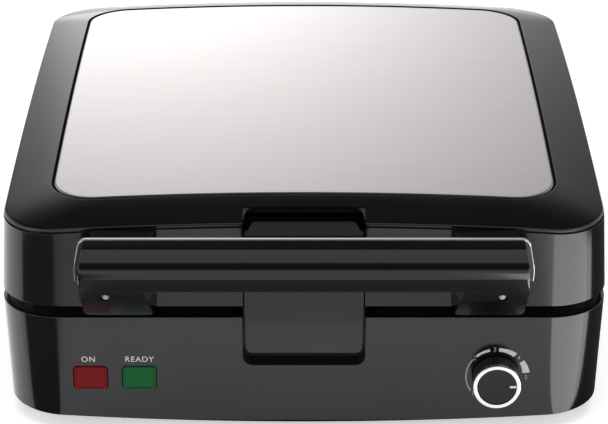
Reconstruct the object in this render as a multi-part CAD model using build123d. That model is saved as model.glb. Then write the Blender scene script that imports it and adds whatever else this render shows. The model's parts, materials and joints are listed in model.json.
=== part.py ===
from build123d import *
import math
import os

# A four-slice waffle maker in millimetres. +X is to the right of a person who faces it, +Y is to the back.
# The origin is on the table, under the middle of the whole object, so Z is the height above the table.

# Lid and base, outside
LID_W = 320.0            # width at the parting line
LID_D = 345.0            # depth at the parting line
CORNER_R = 31.0          # plan corner radius
FOOT_DROP = 3.0          # table to the lowest point of the skirt
SKIRT_H = 63.7           # lowest point of the skirt to the base rim
PARTING_GAP = 6.2        # base rim to the lid's lower edge
LID_WALL_H = 46.0        # lid's lower edge to the frame seam, at the middle of the front
FRAME_RISE = 7.1         # frame seam to the steel panel
FRAME_W = 27.0           # lid's lower edge to the steel panel, in plan
PANEL_R = 24.0           # plan corner radius of the steel panel
DOME_R = 2200.0          # crown of the lid
SKIRT_CROWN_R = 2000.0   # bow of the skirt's lower edge
LID_DRAFT = 3.0          # degrees, narrower at the top
BASE_DRAFT = 2.4         # degrees, narrower at the bottom
WALL = 2.6               # moulded walls
EDGE_R = 1.2             # rounding of the two parting edges

# Lid frame and steel panel
FRAME_T = 2.2            # wall of the frame
LIP_H = 0.7              # upright lip of the frame at the seam
GROOVE_H = 0.9           # shadow groove under the lip
GROOVE_IN = 1.4          # depth of that groove
SEAT_DROP = 0.8          # panel seat below the frame's inner edge
SEAT_W = 9.0             # width of the ledge under the panel
PANEL_T = 0.9            # steel sheet
PANEL_GAP = 0.6          # groove round the panel

# Handle, measured out from the lid's front face and up from the lid's lower edge
GRIP_OUT = 32.6          # front of the handle
GRIP_BACK = 16.5         # back of the handle
GRIP_TOP = 48.7
GRIP_LOW = 19.3          # lowest edge
GRIP_LOW_OUT = 23.0
FRONT_LOW = 31.2         # lower edge of the front face
STEP_OUT = 26.2          # upper front face
STEP_TOP = 46.6
CREASE_OUT = 27.2        # inner corner between the two front faces
CREASE_H = 39.4
BROW_OUT = 32.0          # top of the lower front face
BROW_H = 37.6
BACK_LOW = 30.0          # lower end of the back face
GRIP_R = 2.4             # rounding of the two brows
GRIP_END_R = 5.0         # plan rounding of the front ends
GRIP_IN = 45.6           # lid's side to the handle's end, at the lower front edge
GRIP_LEAN = 3.4          # each end's lean towards the top
TRIM_OUT = 20.0          # middle of the bright strip
TRIM_T = 1.4
TRIM_PROUD = 0.5         # strip above the handle
TRIM_END = 3.6           # strip beyond the handle's end, at its widest
TRIM_WIDE_UP = 33.5      # height of the strip's widest place
TRIM_TOP_IN = 3.7        # strip's upper corner inside its widest place
TRIM_LOW_IN = 3.5        # strip's lower corner inside its widest place
TRIM_R = 5.0             # rounding of the strip's upper corners
TRIM_WIDE_R = 30.0       # rounding of the strip's widest place
ARM_INSET = 1.6          # arm's outer side inside the grip's end
ARM_W = 33.0
ARM_TOP = 44.4
ARM_LEAN = 2.8           # each arm's lean towards the middle, at its top
ARM_R = 3.5              # rounding of the arm's lower corners
ARM_SCREW_IN = 11.5      # screw axis from the arm's outer side
ARM_SCREW_UP = 14.0

# Latch in its bay, measured like the handle
BAY_HALF = 32.2
BAY_DEPTH = 14.4
BAY_R = 4.0
FLAP_HALF = 31.0
FLAP_LOW_HALF = 29.6     # half width at the lower edge
FLAP_DROP = 26.3         # lid's lower edge down to the flap's lower edge
FLAP_TOP = 44.0
FLAP_PROUD = 1.5         # front of the flap beyond the lid's face
FLAP_T = 4.0
FLAP_R = 4.2             # lower corners
LEDGE_OUT = 5.0          # thumb ledge, front
LEDGE_IN = 8.6           # thumb ledge, back
LEDGE_T = 3.0
PIVOT_IN = 4.0
PIVOT_UP = 22.0
PIN_R = 2.0
BARREL_R = 4.6
BARREL_IN = 9.0          # inner end of each barrel from the middle
BARREL_OUT = 28.0
HOOK_UP = -16.2          # top of the hook nose
HOOK_H = 3.2
HOOK_IN = 6.5            # tip of the hook nose
HOOK_HALF = 18.0
HOOK_PLAY = 0.3          # nose to keeper
KEEPER_HALF = 22.0
KEEPER_T = 1.5
SPRING_R = 3.3
SPRING_WIRE_R = 0.45
SPRING_PITCH = 1.6
SPRING_TURNS = 7

# Latch pocket in the base
POCKET_HALF = 33.0
POCKET_DROP = 34.4       # lid's lower edge down to the pocket floor
POCKET_DEPTH = 12.0
POCKET_R = 5.3
POCKET_WALL = 2.2

# Rear hinge
HINGE_IN = 60.0          # lid's side to the middle of a hinge
HINGE_OUT = 7.0          # rear wall to the hinge axis
KNUCKLE_R = 6.2
KNUCKLE_W = 11.2         # lid's knuckle
EAR_T = 6.0              # each ear of the base
EAR_DROP = 18.0          # foot of a lug along the wall
SIDE_GAP = 0.4
HINGE_PIN_R = 3.0
PIN_HEAD_R = 4.4
PIN_HEAD_T = 1.6
RUN_GAP = 0.06           # radial clearance of a turning pin
SEAT_GAP = 0.02          # radial clearance of a fixed pin

# Decks, waffle plates and heaters, given for the base and mirrored into the lid
DECK_DROP = 0.4          # deck below the rim
DECK_T = 3.0
DECK_FIT = 0.3           # deck to wall
SUPPORT_W = 6.0          # shelf under the deck
SUPPORT_T = 2.4
DRIP_W = 5.0             # drip channel round the plate
DRIP_D = 1.2
DRIP_OFF = 3.0           # channel outside the plate flange
PLATE_MARGIN = 28.0      # wall to plate flange
PLATE_R = 18.0
PLATE_GAP = 0.4          # between the two closed plates
FLANGE_W = 7.0
RECESS_D = 12.5          # depth of a waffle recess
RECESS_WALL = 4.0
DIVIDER_W = 8.0
RECESS_R = 8.0
FLOOR_T = 3.5
STUD_H = 9.0
STUD_DRAFT = 12.0
STUD_CELL = 0.66         # stud base as a share of its cell
STUDS_X = 5
STUDS_Y = 5
ELEMENT_R = 3.3
ELEMENT_MARGIN = 24.0    # pan side to element axis
ELEMENT_BEND = 28.0
ELEMENT_MOUTH = 16.0     # half gap between the two ends
ELEMENT_FIT = 0.1
TRAY_GAP = 3.0           # pan to reflector tray
TRAY_T = 1.0
TRAY_DROP = 8.2          # pan underside to the middle of the tray floor
SADDLE_L = 12.0
SADDLE_W = 11.0
SADDLE_X = 55.0          # rear saddles from the middle

# Plate release tabs
TAB_X = 62.0
TAB_W = 20.0
TAB_D = 8.0
TAB_STEM_W = 8.0
TAB_STEM_D = 4.0
TAB_FOOT_T = 1.5
TAB_FIT = 0.2
TAB_NOSE = 2.4           # nose over the flange
TAB_NOSE_H = 1.4
TAB_TRAVEL = 3.0
TAB_OFF = 1.0            # tab in front of the flange

# Posts, screws and bottom
POST_R = 6.5
POST_BITE = 0.4
SCREW_R = 1.6
SCREW_HEAD_R = 3.4
SCREW_HEAD_T = 1.8
SCREW_L = 11.0
SCREW_FIT = 0.1
COVER_LOW = 9.0
COVER_T = 2.4
COVER_FIT = 0.4
VENT_L = 34.0
VENT_W = 3.0
VENT_PITCH = 9.0
VENTS = 9
VENT_ROW = 55.0          # vent rows from the middle
FOOT_IN_X = 46.0         # foot axis inside the rim
FOOT_IN_Y = 48.0
FOOT_R = 9.0
FOOT_EDGE_R = 1.2
FOOT_STEM_R = 3.0
FOOT_HEAD_R = 4.5
FOOT_HEAD_T = 1.6

# Controls on the base front
CONTROL_Z = 31.3         # dial centre
DIAL_IN = 58.8           # lid's side to the dial centre
KNOB_R = 12.5
KNOB_RIM = 2.4           # width of the bright ring
KNOB_RIM_D = 2.0         # depth of the bright ring
KNOB_OUT = 11.5          # front of the knob beyond the lid's face
KNOB_GAP = 1.2           # knob to base wall
KNOB_FACE_IN = 0.8       # disc behind the ring's edge
POINTER_L = 4.4
POINTER_W = 1.3
POINTER_T = 0.5
SHAFT_R = 3.0
BUSH_R = 4.5
BUSH_BACK = 6.0
NUT_R = 7.0
NUT_T = 2.4
STAT_W = 34.0
STAT_H = 24.0
STAT_D = 20.0
LAMP_Z = 30.4
LAMP_IN = 47.2           # lid's side to the first lamp
LAMP_PITCH = 25.8
LENS_W = 18.9
LENS_H = 14.6
LENS_R = 2.6
LENS_PROUD = 0.6
LENS_FLANGE = 1.6
LENS_FIT = 0.15
LENS_DEPTH = 6.4
LAMP_R = 2.5
LAMP_L = 6.0
BOARD_T = 1.6
BOARD_H = 24.0
BOARD_OVER = 7.0         # board beyond the lamps
BOARD_POST_R = 2.6

# Mains entry
GLAND_SIDE = 68.0        # lid's side to the gland
GLAND_Z = 24.0
GLAND_R = 7.0
GLAND_BORE_R = 3.6
GLAND_FLANGE_R = 10.0
GLAND_FLANGE_T = 3.0
GLAND_IN = 9.0
BLOCK_W = 40.0
BLOCK_D = 18.0
BLOCK_H = 14.0
BLOCK_OFF = 22.0         # rear wall to terminal block
BLOCK_POLES = 3
BLOCK_HOLE_R = 2.2

PASS = 2.0               # overshoot of cutting tools
BITE = 0.6               # overlap of pieces that are moulded as one
FIT = 0.1                # clearance of pieces that are seated on each other

# Places that follow from the sizes
DEPTH = GRIP_OUT + LID_D + HINGE_OUT + KNUCKLE_R
Y_FRONT = GRIP_OUT - DEPTH / 2
Y_REAR = Y_FRONT + LID_D
Y_MID = (Y_FRONT + Y_REAR) / 2
Y_HINGE = Y_REAR + HINGE_OUT
Z_RIM = FOOT_DROP + SKIRT_H
Z_LID = Z_RIM + PARTING_GAP
Z_MID = (Z_RIM + Z_LID) / 2
Z_SEAM = Z_LID + LID_WALL_H
Z_PANEL = Z_SEAM + FRAME_RISE
LID_SLOPE = math.tan(math.radians(LID_DRAFT))
BASE_SLOPE = math.tan(math.radians(BASE_DRAFT))
SEAM_IN = LID_WALL_H * LID_SLOPE
SEAM_W = LID_W - 2 * SEAM_IN
SEAM_D = LID_D - 2 * SEAM_IN
SEAM_R = CORNER_R - SEAM_IN
PANEL_W = LID_W - 2 * FRAME_W
PANEL_D = LID_D - 2 * FRAME_W
DECK_TOP = Z_RIM - DECK_DROP
DECK_LOW = DECK_TOP - DECK_T
PLATE_W = LID_W - 2 * PLATE_MARGIN
PLATE_D = LID_D - 2 * PLATE_MARGIN
PLATE_TOP = Z_MID - PLATE_GAP / 2
PAN_W = PLATE_W - 2 * FLANGE_W
PAN_D = PLATE_D - 2 * FLANGE_W
PAN_R = PLATE_R - FLANGE_W
RECESS_FLOOR = PLATE_TOP - RECESS_D
PAN_LOW = RECESS_FLOOR - FLOOR_T
RECESS_W = (PAN_W - 2 * RECESS_WALL - DIVIDER_W) / 2
RECESS_L = (PAN_D - 2 * RECESS_WALL - DIVIDER_W) / 2
ELEMENT_Z = PAN_LOW - ELEMENT_R - ELEMENT_FIT
TRAY_FLOOR = PAN_LOW - TRAY_DROP - ELEMENT_R
COVER_TOP = COVER_LOW + COVER_T
Z_ABOVE = Z_PANEL + FRAME_W  # clear of the lid's crown
GRIP_HALF = LID_W / 2 - GRIP_IN
TRIM_HALF = GRIP_HALF + TRIM_END
HINGE_X = LID_W / 2 - HINGE_IN
DIAL_X = LID_W / 2 - DIAL_IN
LAMP_X_ON = LAMP_IN - LID_W / 2
LAMP_X_READY = LAMP_X_ON + LAMP_PITCH
GLAND_X = GLAND_SIDE - LID_W / 2
MIRROR = Plane((0, 0, Z_MID))


def outline(width, depth, radius):
    """Rounded rectangle about the middle of the lid."""
    return Pos(0, Y_MID) * RectangleRounded(width, depth, radius)


def inset_outline(inset):
    """The lid's lower outline, drawn in by an inset."""
    return outline(LID_W - 2 * inset, LID_D - 2 * inset, CORNER_R - inset)


def slab(sketch, z_low, z_high):
    """A flat outline raised from one height to another."""
    return extrude(Plane.XY.offset(z_low) * sketch, amount=z_high - z_low)


def plate_slab(grow, z_low, z_high):
    """The waffle plate's flange outline, grown, between two heights."""
    return slab(outline(PLATE_W + 2 * grow, PLATE_D + 2 * grow, PLATE_R + grow), z_low, z_high)


def pan_slab(grow, z_low, z_high):
    """The waffle plate's pan outline, grown, between two heights."""
    return slab(outline(PAN_W + 2 * grow, PAN_D + 2 * grow, PAN_R + grow), z_low, z_high)


def panel_column(inset):
    """A column through the lid's top over the steel panel's outline, drawn in by an inset."""
    return slab(outline(PANEL_W - 2 * inset, PANEL_D - 2 * inset, PANEL_R - inset), Z_LID, Z_ABOVE)


def drafted(inset_low, z_low, inset_high, z_high):
    """A block whose four sides lean evenly between two insets."""
    low = Plane.XY.offset(z_low) * inset_outline(inset_low)
    high = Plane.XY.offset(z_high) * inset_outline(inset_high)
    return loft([low, high], ruled=True)


def base_block(inset, z_low, z_high):
    """The base's outer form between two heights, drawn in by an inset."""
    low = inset + (Z_RIM - z_low) * BASE_SLOPE
    high = inset + (Z_RIM - z_high) * BASE_SLOPE
    return drafted(low, z_low, high, z_high)


def lid_block(inset, z_low, z_high):
    """The lid's outer form between two heights, drawn in by an inset."""
    low = inset + (z_low - Z_LID) * LID_SLOPE
    high = inset + (z_high - Z_LID) * LID_SLOPE
    return drafted(low, z_low, high, z_high)


def bar(x, width, y_low, y_high, z_low, z_high):
    """A box that is centred on a place in X."""
    middle = Pos(x, (y_low + y_high) / 2, (z_low + z_high) / 2)
    return middle * Box(width, y_high - y_low, z_high - z_low)


def x_rod(radius, x_low, x_high, y, z):
    """A round bar along X."""
    return Pos((x_low + x_high) / 2, y, z) * Rot(0, 90, 0) * Cylinder(radius, x_high - x_low)


def y_rod(radius, x, y_low, y_high, z):
    """A round bar along Y."""
    return Pos(x, (y_low + y_high) / 2, z) * Rot(90, 0, 0) * Cylinder(radius, y_high - y_low)


def z_rod(radius, x, y, z_low, z_high):
    """A round bar along Z."""
    return Pos(x, y, (z_low + z_high) / 2) * Cylinder(radius, z_high - z_low)


def side_profile(sketch, x_low, x_high):
    """An outline in Y and Z, carried along X."""
    return extrude(Plane.YZ.offset(x_low) * sketch, amount=x_high - x_low)


def front_profile(sketch, y_low, y_high):
    """An outline in X and Z, carried along Y."""
    return extrude(Plane.XZ.offset(-y_high) * sketch, amount=y_high - y_low)


def at_lid(out, up):
    """A point in Y and Z, given out from the lid's front face and up from its lower edge."""
    return (Y_FRONT - out, Z_LID + up)


def polygon(*points):
    """A closed outline through the points."""
    return make_face(Polyline(*points, close=True))


def one_solid(shape):
    """The single solid of a shape, without its wrapping."""
    return shape.solids().sort_by(SortBy.VOLUME)[-1]


def dome(depth, z_front):
    """A ball under the lid's crown that passes through the middle of an outline's front edge."""
    centre_z = z_front - math.sqrt(DOME_R ** 2 - (depth / 2) ** 2)
    return Pos(0, Y_MID, centre_z) * Rot(90, 0, 0) * Sphere(DOME_R)


def dome_face(width, depth, radius, z_front):
    """The crowned face inside a rounded rectangle."""
    column = slab(outline(width, depth, radius), Z_LID, Z_ABOVE)
    return (column & dome(depth, z_front)).faces().sort_by(Axis.Z)[-1]


def bearing(edge):
    """Angle of an edge's middle about the middle of the lid."""
    point = edge.position_at(0.5)
    return math.atan2(point.Y - Y_MID, point.X)


def crowned_stack(sections):
    """A solid between crowned rounded rectangles, joined in order by straight-ruled bands."""
    faces = [dome_face(*section) for section in sections]
    loops = [sorted(face.edges(), key=bearing) for face in faces]
    bands = []
    for low, high in zip(loops[:-1], loops[1:]):
        for first, second in zip(low, high):
            apart = (first.position_at(0) - second.position_at(0)).length
            crossed = (first.position_at(0) - second.position_at(1)).length
            match = second if apart <= crossed else second.reversed()
            bands.append(Face.make_surface_from_curves(first, match))
    return Solid(Shell([faces[0], *bands, faces[-1]]))


def corner_points():
    """Axes of the four corner posts, which bite into the walls."""
    reach = (CORNER_R - WALL - POST_R + POST_BITE) / math.sqrt(2)
    x = LID_W / 2 - CORNER_R + reach
    y = LID_D / 2 - CORNER_R + reach
    return [(sx * x, Y_MID + sy * y) for sx in (-1, 1) for sy in (-1, 1)]


def lug(x_low, x_high, wall_low, wall_high, knuckle_end):
    """A hinge lug from the rear wall to its round end."""
    wall_y = Y_REAR - WALL / 2
    web = polygon((wall_y, wall_low), (wall_y, wall_high), (Y_HINGE, Z_MID), (Y_HINGE, knuckle_end))
    return side_profile(web, x_low, x_high) + x_rod(KNUCKLE_R, x_low, x_high, Y_HINGE, Z_MID)


def base_ears():
    """Two pairs of ears behind the base."""
    inner = KNUCKLE_W / 2 + SIDE_GAP
    ears = []
    for side in (-1, 1):
        for start in (-inner - EAR_T, inner):
            x = side * HINGE_X + start
            ears.append(lug(x, x + EAR_T, Z_RIM - EAR_DROP, Z_RIM - EDGE_R, Z_MID - KNUCKLE_R))
    return ears


def lid_knuckles():
    """The lid's two hinge knuckles."""
    half = KNUCKLE_W / 2
    low = Z_LID + EDGE_R
    high = Z_LID + EAR_DROP
    top = Z_MID + KNUCKLE_R
    return [lug(s * HINGE_X - half, s * HINGE_X + half, high, low, top) for s in (-1, 1)]


def hinge_bores(radius):
    """Cutters along the hinge axis."""
    reach = KNUCKLE_W / 2 + SIDE_GAP + EAR_T + PASS
    return [x_rod(radius, s * HINGE_X - reach, s * HINGE_X + reach, Y_HINGE, Z_MID) for s in (-1, 1)]


def hinge_pin(side):
    """A headed pin through one pair of ears."""
    half = KNUCKLE_W / 2 + SIDE_GAP + EAR_T
    shank = x_rod(HINGE_PIN_R, side * HINGE_X - half, side * HINGE_X + half, Y_HINGE, Z_MID)
    start = side * (HINGE_X + half)
    ends = sorted((start, start + side * PIN_HEAD_T))
    return shank + x_rod(PIN_HEAD_R, ends[0], ends[1], Y_HINGE, Z_MID)


def pocket_block(grow):
    """The latch pocket in the base front, grown by its wall."""
    low = Z_LID - POCKET_DROP - grow
    high = Z_RIM + POCKET_R + grow + PASS
    shape = RectangleRounded(2 * (POCKET_HALF + grow), high - low, POCKET_R + grow)
    return front_profile(Pos(0, (low + high) / 2) * shape, Y_FRONT - PASS, Y_FRONT + POCKET_DEPTH + grow)


def bay_outline(grow):
    """Plan of the latch bay in the lid front, open to the front."""
    length = BAY_DEPTH + grow + BAY_R + PASS
    centre = Y_FRONT + BAY_DEPTH + grow - length / 2
    return Pos(0, centre) * RectangleRounded(2 * (BAY_HALF + grow), length, BAY_R + grow)


def bay_block(grow, z_low, z_high):
    """The latch bay between two heights."""
    return slab(bay_outline(grow), z_low, z_high)


def lens_shape(grow):
    """Front outline of a lamp lens."""
    return RectangleRounded(LENS_W + 2 * grow, LENS_H + 2 * grow, LENS_R + grow)


def wall_face(z):
    """Y of the base's front face at a height."""
    return Y_FRONT + (Z_RIM - z) * BASE_SLOPE


def board_points():
    """Axes of the two posts that carry the lamp board, in X."""
    reach = LENS_W / 2 + LENS_FLANGE + BOARD_POST_R + FIT
    return [LAMP_X_ON - reach, LAMP_X_READY + reach]


def board_front():
    """Y of the lamp board's front side."""
    return wall_face(LAMP_Z) + LENS_DEPTH + LAMP_L


def base_shell():
    """Base housing: drafted skirt, latch pocket, control holes, corner posts and hinge ears."""
    outer = base_block(0, 0, Z_RIM)
    outer = fillet(outer.edges().group_by(Axis.Z)[-1], EDGE_R)
    crown = Pos(0, Y_MID, FOOT_DROP + SKIRT_CROWN_R) * Rot(90, 0, 0) * Cylinder(SKIRT_CROWN_R, 2 * LID_D)
    skirt = outer & crown
    shell = skirt - base_block(WALL, -PASS, Z_RIM + PASS)
    shelf_low = DECK_LOW - SUPPORT_T
    shelf = base_block(WALL - BITE, shelf_low, DECK_LOW)
    shelf -= base_block(WALL + SUPPORT_W, shelf_low - PASS, DECK_LOW + PASS)
    posts = [z_rod(POST_R, x, y, COVER_TOP, DECK_LOW) & outer for x, y in corner_points()]
    shell += [shelf, pocket_block(POCKET_WALL) & skirt, *posts, *base_ears()]
    for x in board_points():
        shell += y_rod(BOARD_POST_R, x, wall_face(LAMP_Z) + WALL - BITE, board_front(), LAMP_Z)
    shell -= pocket_block(0)
    for x in (LAMP_X_ON, LAMP_X_READY):
        window = Pos(x, LAMP_Z) * lens_shape(LENS_FIT)
        shell -= front_profile(window, Y_FRONT - PASS, wall_face(0) + WALL + PASS)
    dial_back = wall_face(0) + WALL + PASS
    shell -= y_rod(BUSH_R + SEAT_GAP, DIAL_X, Y_FRONT - PASS, dial_back, CONTROL_Z)
    shell -= y_rod(GLAND_R + SEAT_GAP, GLAND_X, Y_REAR - GLAND_IN - WALL, Y_REAR + PASS, GLAND_Z)
    shell -= hinge_bores(HINGE_PIN_R + SEAT_GAP)
    for x, y in corner_points():
        shell -= z_rod(SCREW_R + SCREW_FIT, x, y, COVER_TOP - PASS, COVER_TOP + SCREW_L)
        shell -= z_rod(SCREW_R + SCREW_FIT, x, y, DECK_LOW - SCREW_L, DECK_LOW + PASS)
    return one_solid(shell)


def deck():
    """Ring between the wall and the waffle plate, with a drip channel, screw seats and the tab's slot."""
    ring = base_block(WALL + DECK_FIT, DECK_LOW, DECK_TOP)
    ring -= pan_slab(FIT, DECK_LOW - PASS, DECK_TOP + PASS)
    channel = plate_slab(DRIP_OFF + DRIP_W, DECK_TOP - DRIP_D, DECK_TOP + PASS)
    channel -= plate_slab(DRIP_OFF, DECK_LOW, DECK_TOP + 2 * PASS)
    ring -= [channel, deck_notch()]
    for x, y in corner_points():
        ring -= z_rod(SCREW_R + SCREW_FIT, x, y, DECK_LOW - PASS, DECK_TOP + PASS)
        ring -= z_rod(SCREW_HEAD_R + SCREW_FIT, x, y, DECK_TOP - SCREW_HEAD_T, DECK_TOP + PASS)
    ring += bar(TAB_X, TAB_W, tab_back() - TAB_D - TAB_TRAVEL, tab_back(), DECK_LOW, DECK_TOP)
    slot_back = tab_stem_back() + TAB_FIT
    slot_front = slot_back - TAB_STEM_D - 2 * TAB_FIT - TAB_TRAVEL
    ring -= bar(TAB_X, TAB_STEM_W + 2 * TAB_FIT, slot_front, slot_back, DECK_LOW - PASS, DECK_TOP + PASS)
    return one_solid(ring)


def deck_screws():
    """Four flat-headed screws from the deck into the corner posts."""
    low = DECK_TOP - SCREW_HEAD_T
    screws = []
    for x, y in corner_points():
        head = z_rod(SCREW_HEAD_R, x, y, low, DECK_TOP - FIT)
        screws.append(head + z_rod(SCREW_R, x, y, DECK_TOP - SCREW_L, low))
    return Compound(screws)


def bottom_cover():
    """Flat cover inside the skirt, with vents, screw seats and foot holes."""
    cover = base_block(WALL + COVER_FIT, COVER_LOW, COVER_TOP)
    vent = SlotOverall(VENT_L, VENT_W)
    for row in (-1, 1):
        for step in range(VENTS):
            y = Y_MID + (step - (VENTS - 1) / 2) * VENT_PITCH
            cover -= slab(Pos(row * VENT_ROW, y) * vent, COVER_LOW - PASS, COVER_TOP + PASS)
    for x, y in corner_points():
        cover -= z_rod(SCREW_R + SCREW_FIT, x, y, COVER_LOW - PASS, COVER_TOP + PASS)
    for x, y in foot_points():
        cover -= z_rod(FOOT_STEM_R + FIT, x, y, COVER_LOW - PASS, COVER_TOP + PASS)
    return one_solid(cover)


def bottom_screws():
    """Four screws from below into the corner posts."""
    screws = []
    for x, y in corner_points():
        head = z_rod(SCREW_HEAD_R, x, y, COVER_LOW - SCREW_HEAD_T, COVER_LOW)
        screws.append(head + z_rod(SCREW_R, x, y, COVER_LOW, COVER_LOW + SCREW_L))
    return Compound(screws)


def foot_points():
    """Axes of the four feet."""
    x = LID_W / 2 - FOOT_IN_X
    y = LID_D / 2 - FOOT_IN_Y
    return [(sx * x, Y_MID + sy * y) for sx in (-1, 1) for sy in (-1, 1)]


def rubber_feet():
    """Four feet buttoned through the cover."""
    feet = []
    for x, y in foot_points():
        pad = z_rod(FOOT_R, x, y, 0, COVER_LOW)
        pad = fillet(pad.edges().group_by(Axis.Z)[0], FOOT_EDGE_R)
        stem = z_rod(FOOT_STEM_R, x, y, COVER_LOW, COVER_TOP)
        button = z_rod(FOOT_HEAD_R, x, y, COVER_TOP, COVER_TOP + FOOT_HEAD_T)
        feet.append(one_solid(pad + stem + button))
    return Compound(feet)


def recess_points():
    """Middles of the four waffle recesses."""
    x = (DIVIDER_W + RECESS_W) / 2
    y = (DIVIDER_W + RECESS_L) / 2
    return [(sx * x, Y_MID + sy * y) for sx in (-1, 1) for sy in (-1, 1)]


def waffle_plate():
    """Cast plate: flange, pan, four recesses and their studs."""
    plate = plate_slab(0, DECK_TOP, PLATE_TOP) + pan_slab(0, PAN_LOW, PLATE_TOP)
    recess = RectangleRounded(RECESS_W, RECESS_L, RECESS_R)
    cell_x = RECESS_W / STUDS_X
    cell_y = RECESS_L / STUDS_Y
    foot = Rectangle(cell_x * STUD_CELL, cell_y * STUD_CELL)
    floor = Plane.XY.offset(RECESS_FLOOR)
    studs = []
    for x, y in recess_points():
        plate -= slab(Pos(x, y) * recess, RECESS_FLOOR, PLATE_TOP + PASS)
        for cell in GridLocations(cell_x, cell_y, STUDS_X, STUDS_Y):
            studs.append(extrude(floor * Pos(x, y) * cell * foot, amount=STUD_H, taper=STUD_DRAFT))
    plate += studs
    front = Y_MID - PLATE_D / 2
    rebate_low = PLATE_TOP - TAB_NOSE_H - TAB_FIT
    rebate_back = front + TAB_NOSE + TAB_FIT
    plate -= bar(TAB_X, TAB_W + 2 * TAB_FIT, front - PASS, rebate_back, rebate_low, PLATE_TOP + PASS)
    return one_solid(plate)


def element_ends():
    """Half width and half depth of the heating loop's axis."""
    return PAN_W / 2 - ELEMENT_MARGIN, PAN_D / 2 - ELEMENT_MARGIN


def heating_element():
    """Sheathed heater bent into one loop under the pan, open at the back."""
    x, y = element_ends()
    path = FilletPolyline(
        (-ELEMENT_MOUTH, Y_MID + y, ELEMENT_Z),
        (-x, Y_MID + y, ELEMENT_Z),
        (-x, Y_MID - y, ELEMENT_Z),
        (x, Y_MID - y, ELEMENT_Z),
        (x, Y_MID + y, ELEMENT_Z),
        (ELEMENT_MOUTH, Y_MID + y, ELEMENT_Z),
        radius=ELEMENT_BEND,
    )
    section = Plane(origin=path @ 0, z_dir=path % 0) * Circle(ELEMENT_R)
    return one_solid(sweep(section, path))


def element_saddles():
    """Saddles between the reflector and the heating loop."""
    half_x, half_y = element_ends()
    low = TRAY_FLOOR + TRAY_T / 2
    saddles = []
    for x in (-half_x, half_x):
        saddle = bar(x, SADDLE_W, Y_MID - SADDLE_L / 2, Y_MID + SADDLE_L / 2, low, ELEMENT_Z)
        groove = y_rod(ELEMENT_R + FIT, x, Y_MID - SADDLE_L, Y_MID + SADDLE_L, ELEMENT_Z)
        saddles.append(one_solid(saddle - groove))
    for x, y in ((0, Y_MID - half_y), (-SADDLE_X, Y_MID + half_y), (SADDLE_X, Y_MID + half_y)):
        saddle = bar(x, SADDLE_L, y - SADDLE_W / 2, y + SADDLE_W / 2, low, ELEMENT_Z)
        groove = x_rod(ELEMENT_R + FIT, x - SADDLE_L, x + SADDLE_L, y, ELEMENT_Z)
        saddles.append(one_solid(saddle - groove))
    return Compound(saddles)


def reflector():
    """Sheet tray under the pan, hung from the deck."""
    low = TRAY_FLOOR - TRAY_T / 2
    tray = pan_slab(TRAY_GAP + TRAY_T, low, DECK_LOW)
    tray -= pan_slab(TRAY_GAP, low + TRAY_T, DECK_LOW + PASS)
    return one_solid(tray)


def tab_back():
    """Y of the back of a release tab's body."""
    return Y_MID - PLATE_D / 2 - TAB_OFF


def tab_stem_back():
    """Y of the back of a release tab's stem."""
    return tab_back() - TAB_FIT


def release_tab():
    """Sliding catch whose nose holds the plate's front edge."""
    back = tab_back()
    low = DECK_TOP + FIT
    nose_low = PLATE_TOP - TAB_NOSE_H
    body = bar(TAB_X, TAB_W, back - TAB_D, back, low, nose_low + BITE)
    body += bar(TAB_X, TAB_W, back - TAB_D, back + TAB_OFF + TAB_NOSE, nose_low, PLATE_TOP)
    stem_back = tab_stem_back()
    stem_front = stem_back - TAB_STEM_D
    foot_high = DECK_LOW - FIT
    foot_low = foot_high - TAB_FOOT_T
    body += bar(TAB_X, TAB_STEM_W, stem_front, stem_back, foot_low, low + BITE)
    body += bar(TAB_X, TAB_W - 2 * TAB_FIT, stem_front, stem_back, foot_low, foot_high)
    return one_solid(body)


def lid_shell():
    """Lid walls with the shadow groove, latch bay, corner posts and hinge knuckles."""
    outer = lid_block(0, Z_LID, Z_ABOVE)
    outer = fillet(outer.edges().group_by(Axis.Z)[0], EDGE_R)
    body = outer & dome(SEAM_D, Z_SEAM - LIP_H - GROOVE_H)
    neck = lid_block(GROOVE_IN, Z_LID + EDGE_R, Z_ABOVE) & dome(SEAM_D, Z_SEAM - LIP_H - FIT)
    shell = body + neck - lid_block(WALL, Z_LID - PASS, Z_ABOVE)
    shelf_low = lid_height(DECK_LOW)
    shelf_high = shelf_low + SUPPORT_T
    shelf = lid_block(WALL - BITE, shelf_low, shelf_high)
    shelf -= lid_block(WALL + SUPPORT_W, shelf_low - PASS, shelf_high + PASS)
    post_high = shelf_low + SCREW_L + POST_R
    posts = [z_rod(POST_R, x, y, shelf_low, post_high) & outer for x, y in corner_points()]
    bay = bay_block(POCKET_WALL, Z_LID, Z_ABOVE) & body
    shell += [shelf, bay, *posts, *lid_knuckles()]
    shell -= bay_block(0, Z_LID - PASS, Z_ABOVE)
    y, z = at_lid(-PIVOT_IN, PIVOT_UP)
    reach = BAY_HALF + POCKET_WALL + PASS
    shell -= x_rod(PIN_R + SEAT_GAP, -reach, reach, y, z)
    shell -= hinge_bores(HINGE_PIN_R + RUN_GAP)
    for x, y in corner_points():
        shell -= z_rod(SCREW_R + SCREW_FIT, x, y, shelf_low - PASS, shelf_low + SCREW_L)
    for x in arm_screw_x():
        y, z = at_lid(0, ARM_SCREW_UP)
        shell -= y_rod(SCREW_R + SCREW_FIT, x, y - PASS, y + WALL + PASS, z)
    return one_solid(shell)


def lid_height(z):
    """The height in the lid that mirrors a height in the base."""
    return 2 * Z_MID - z


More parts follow.
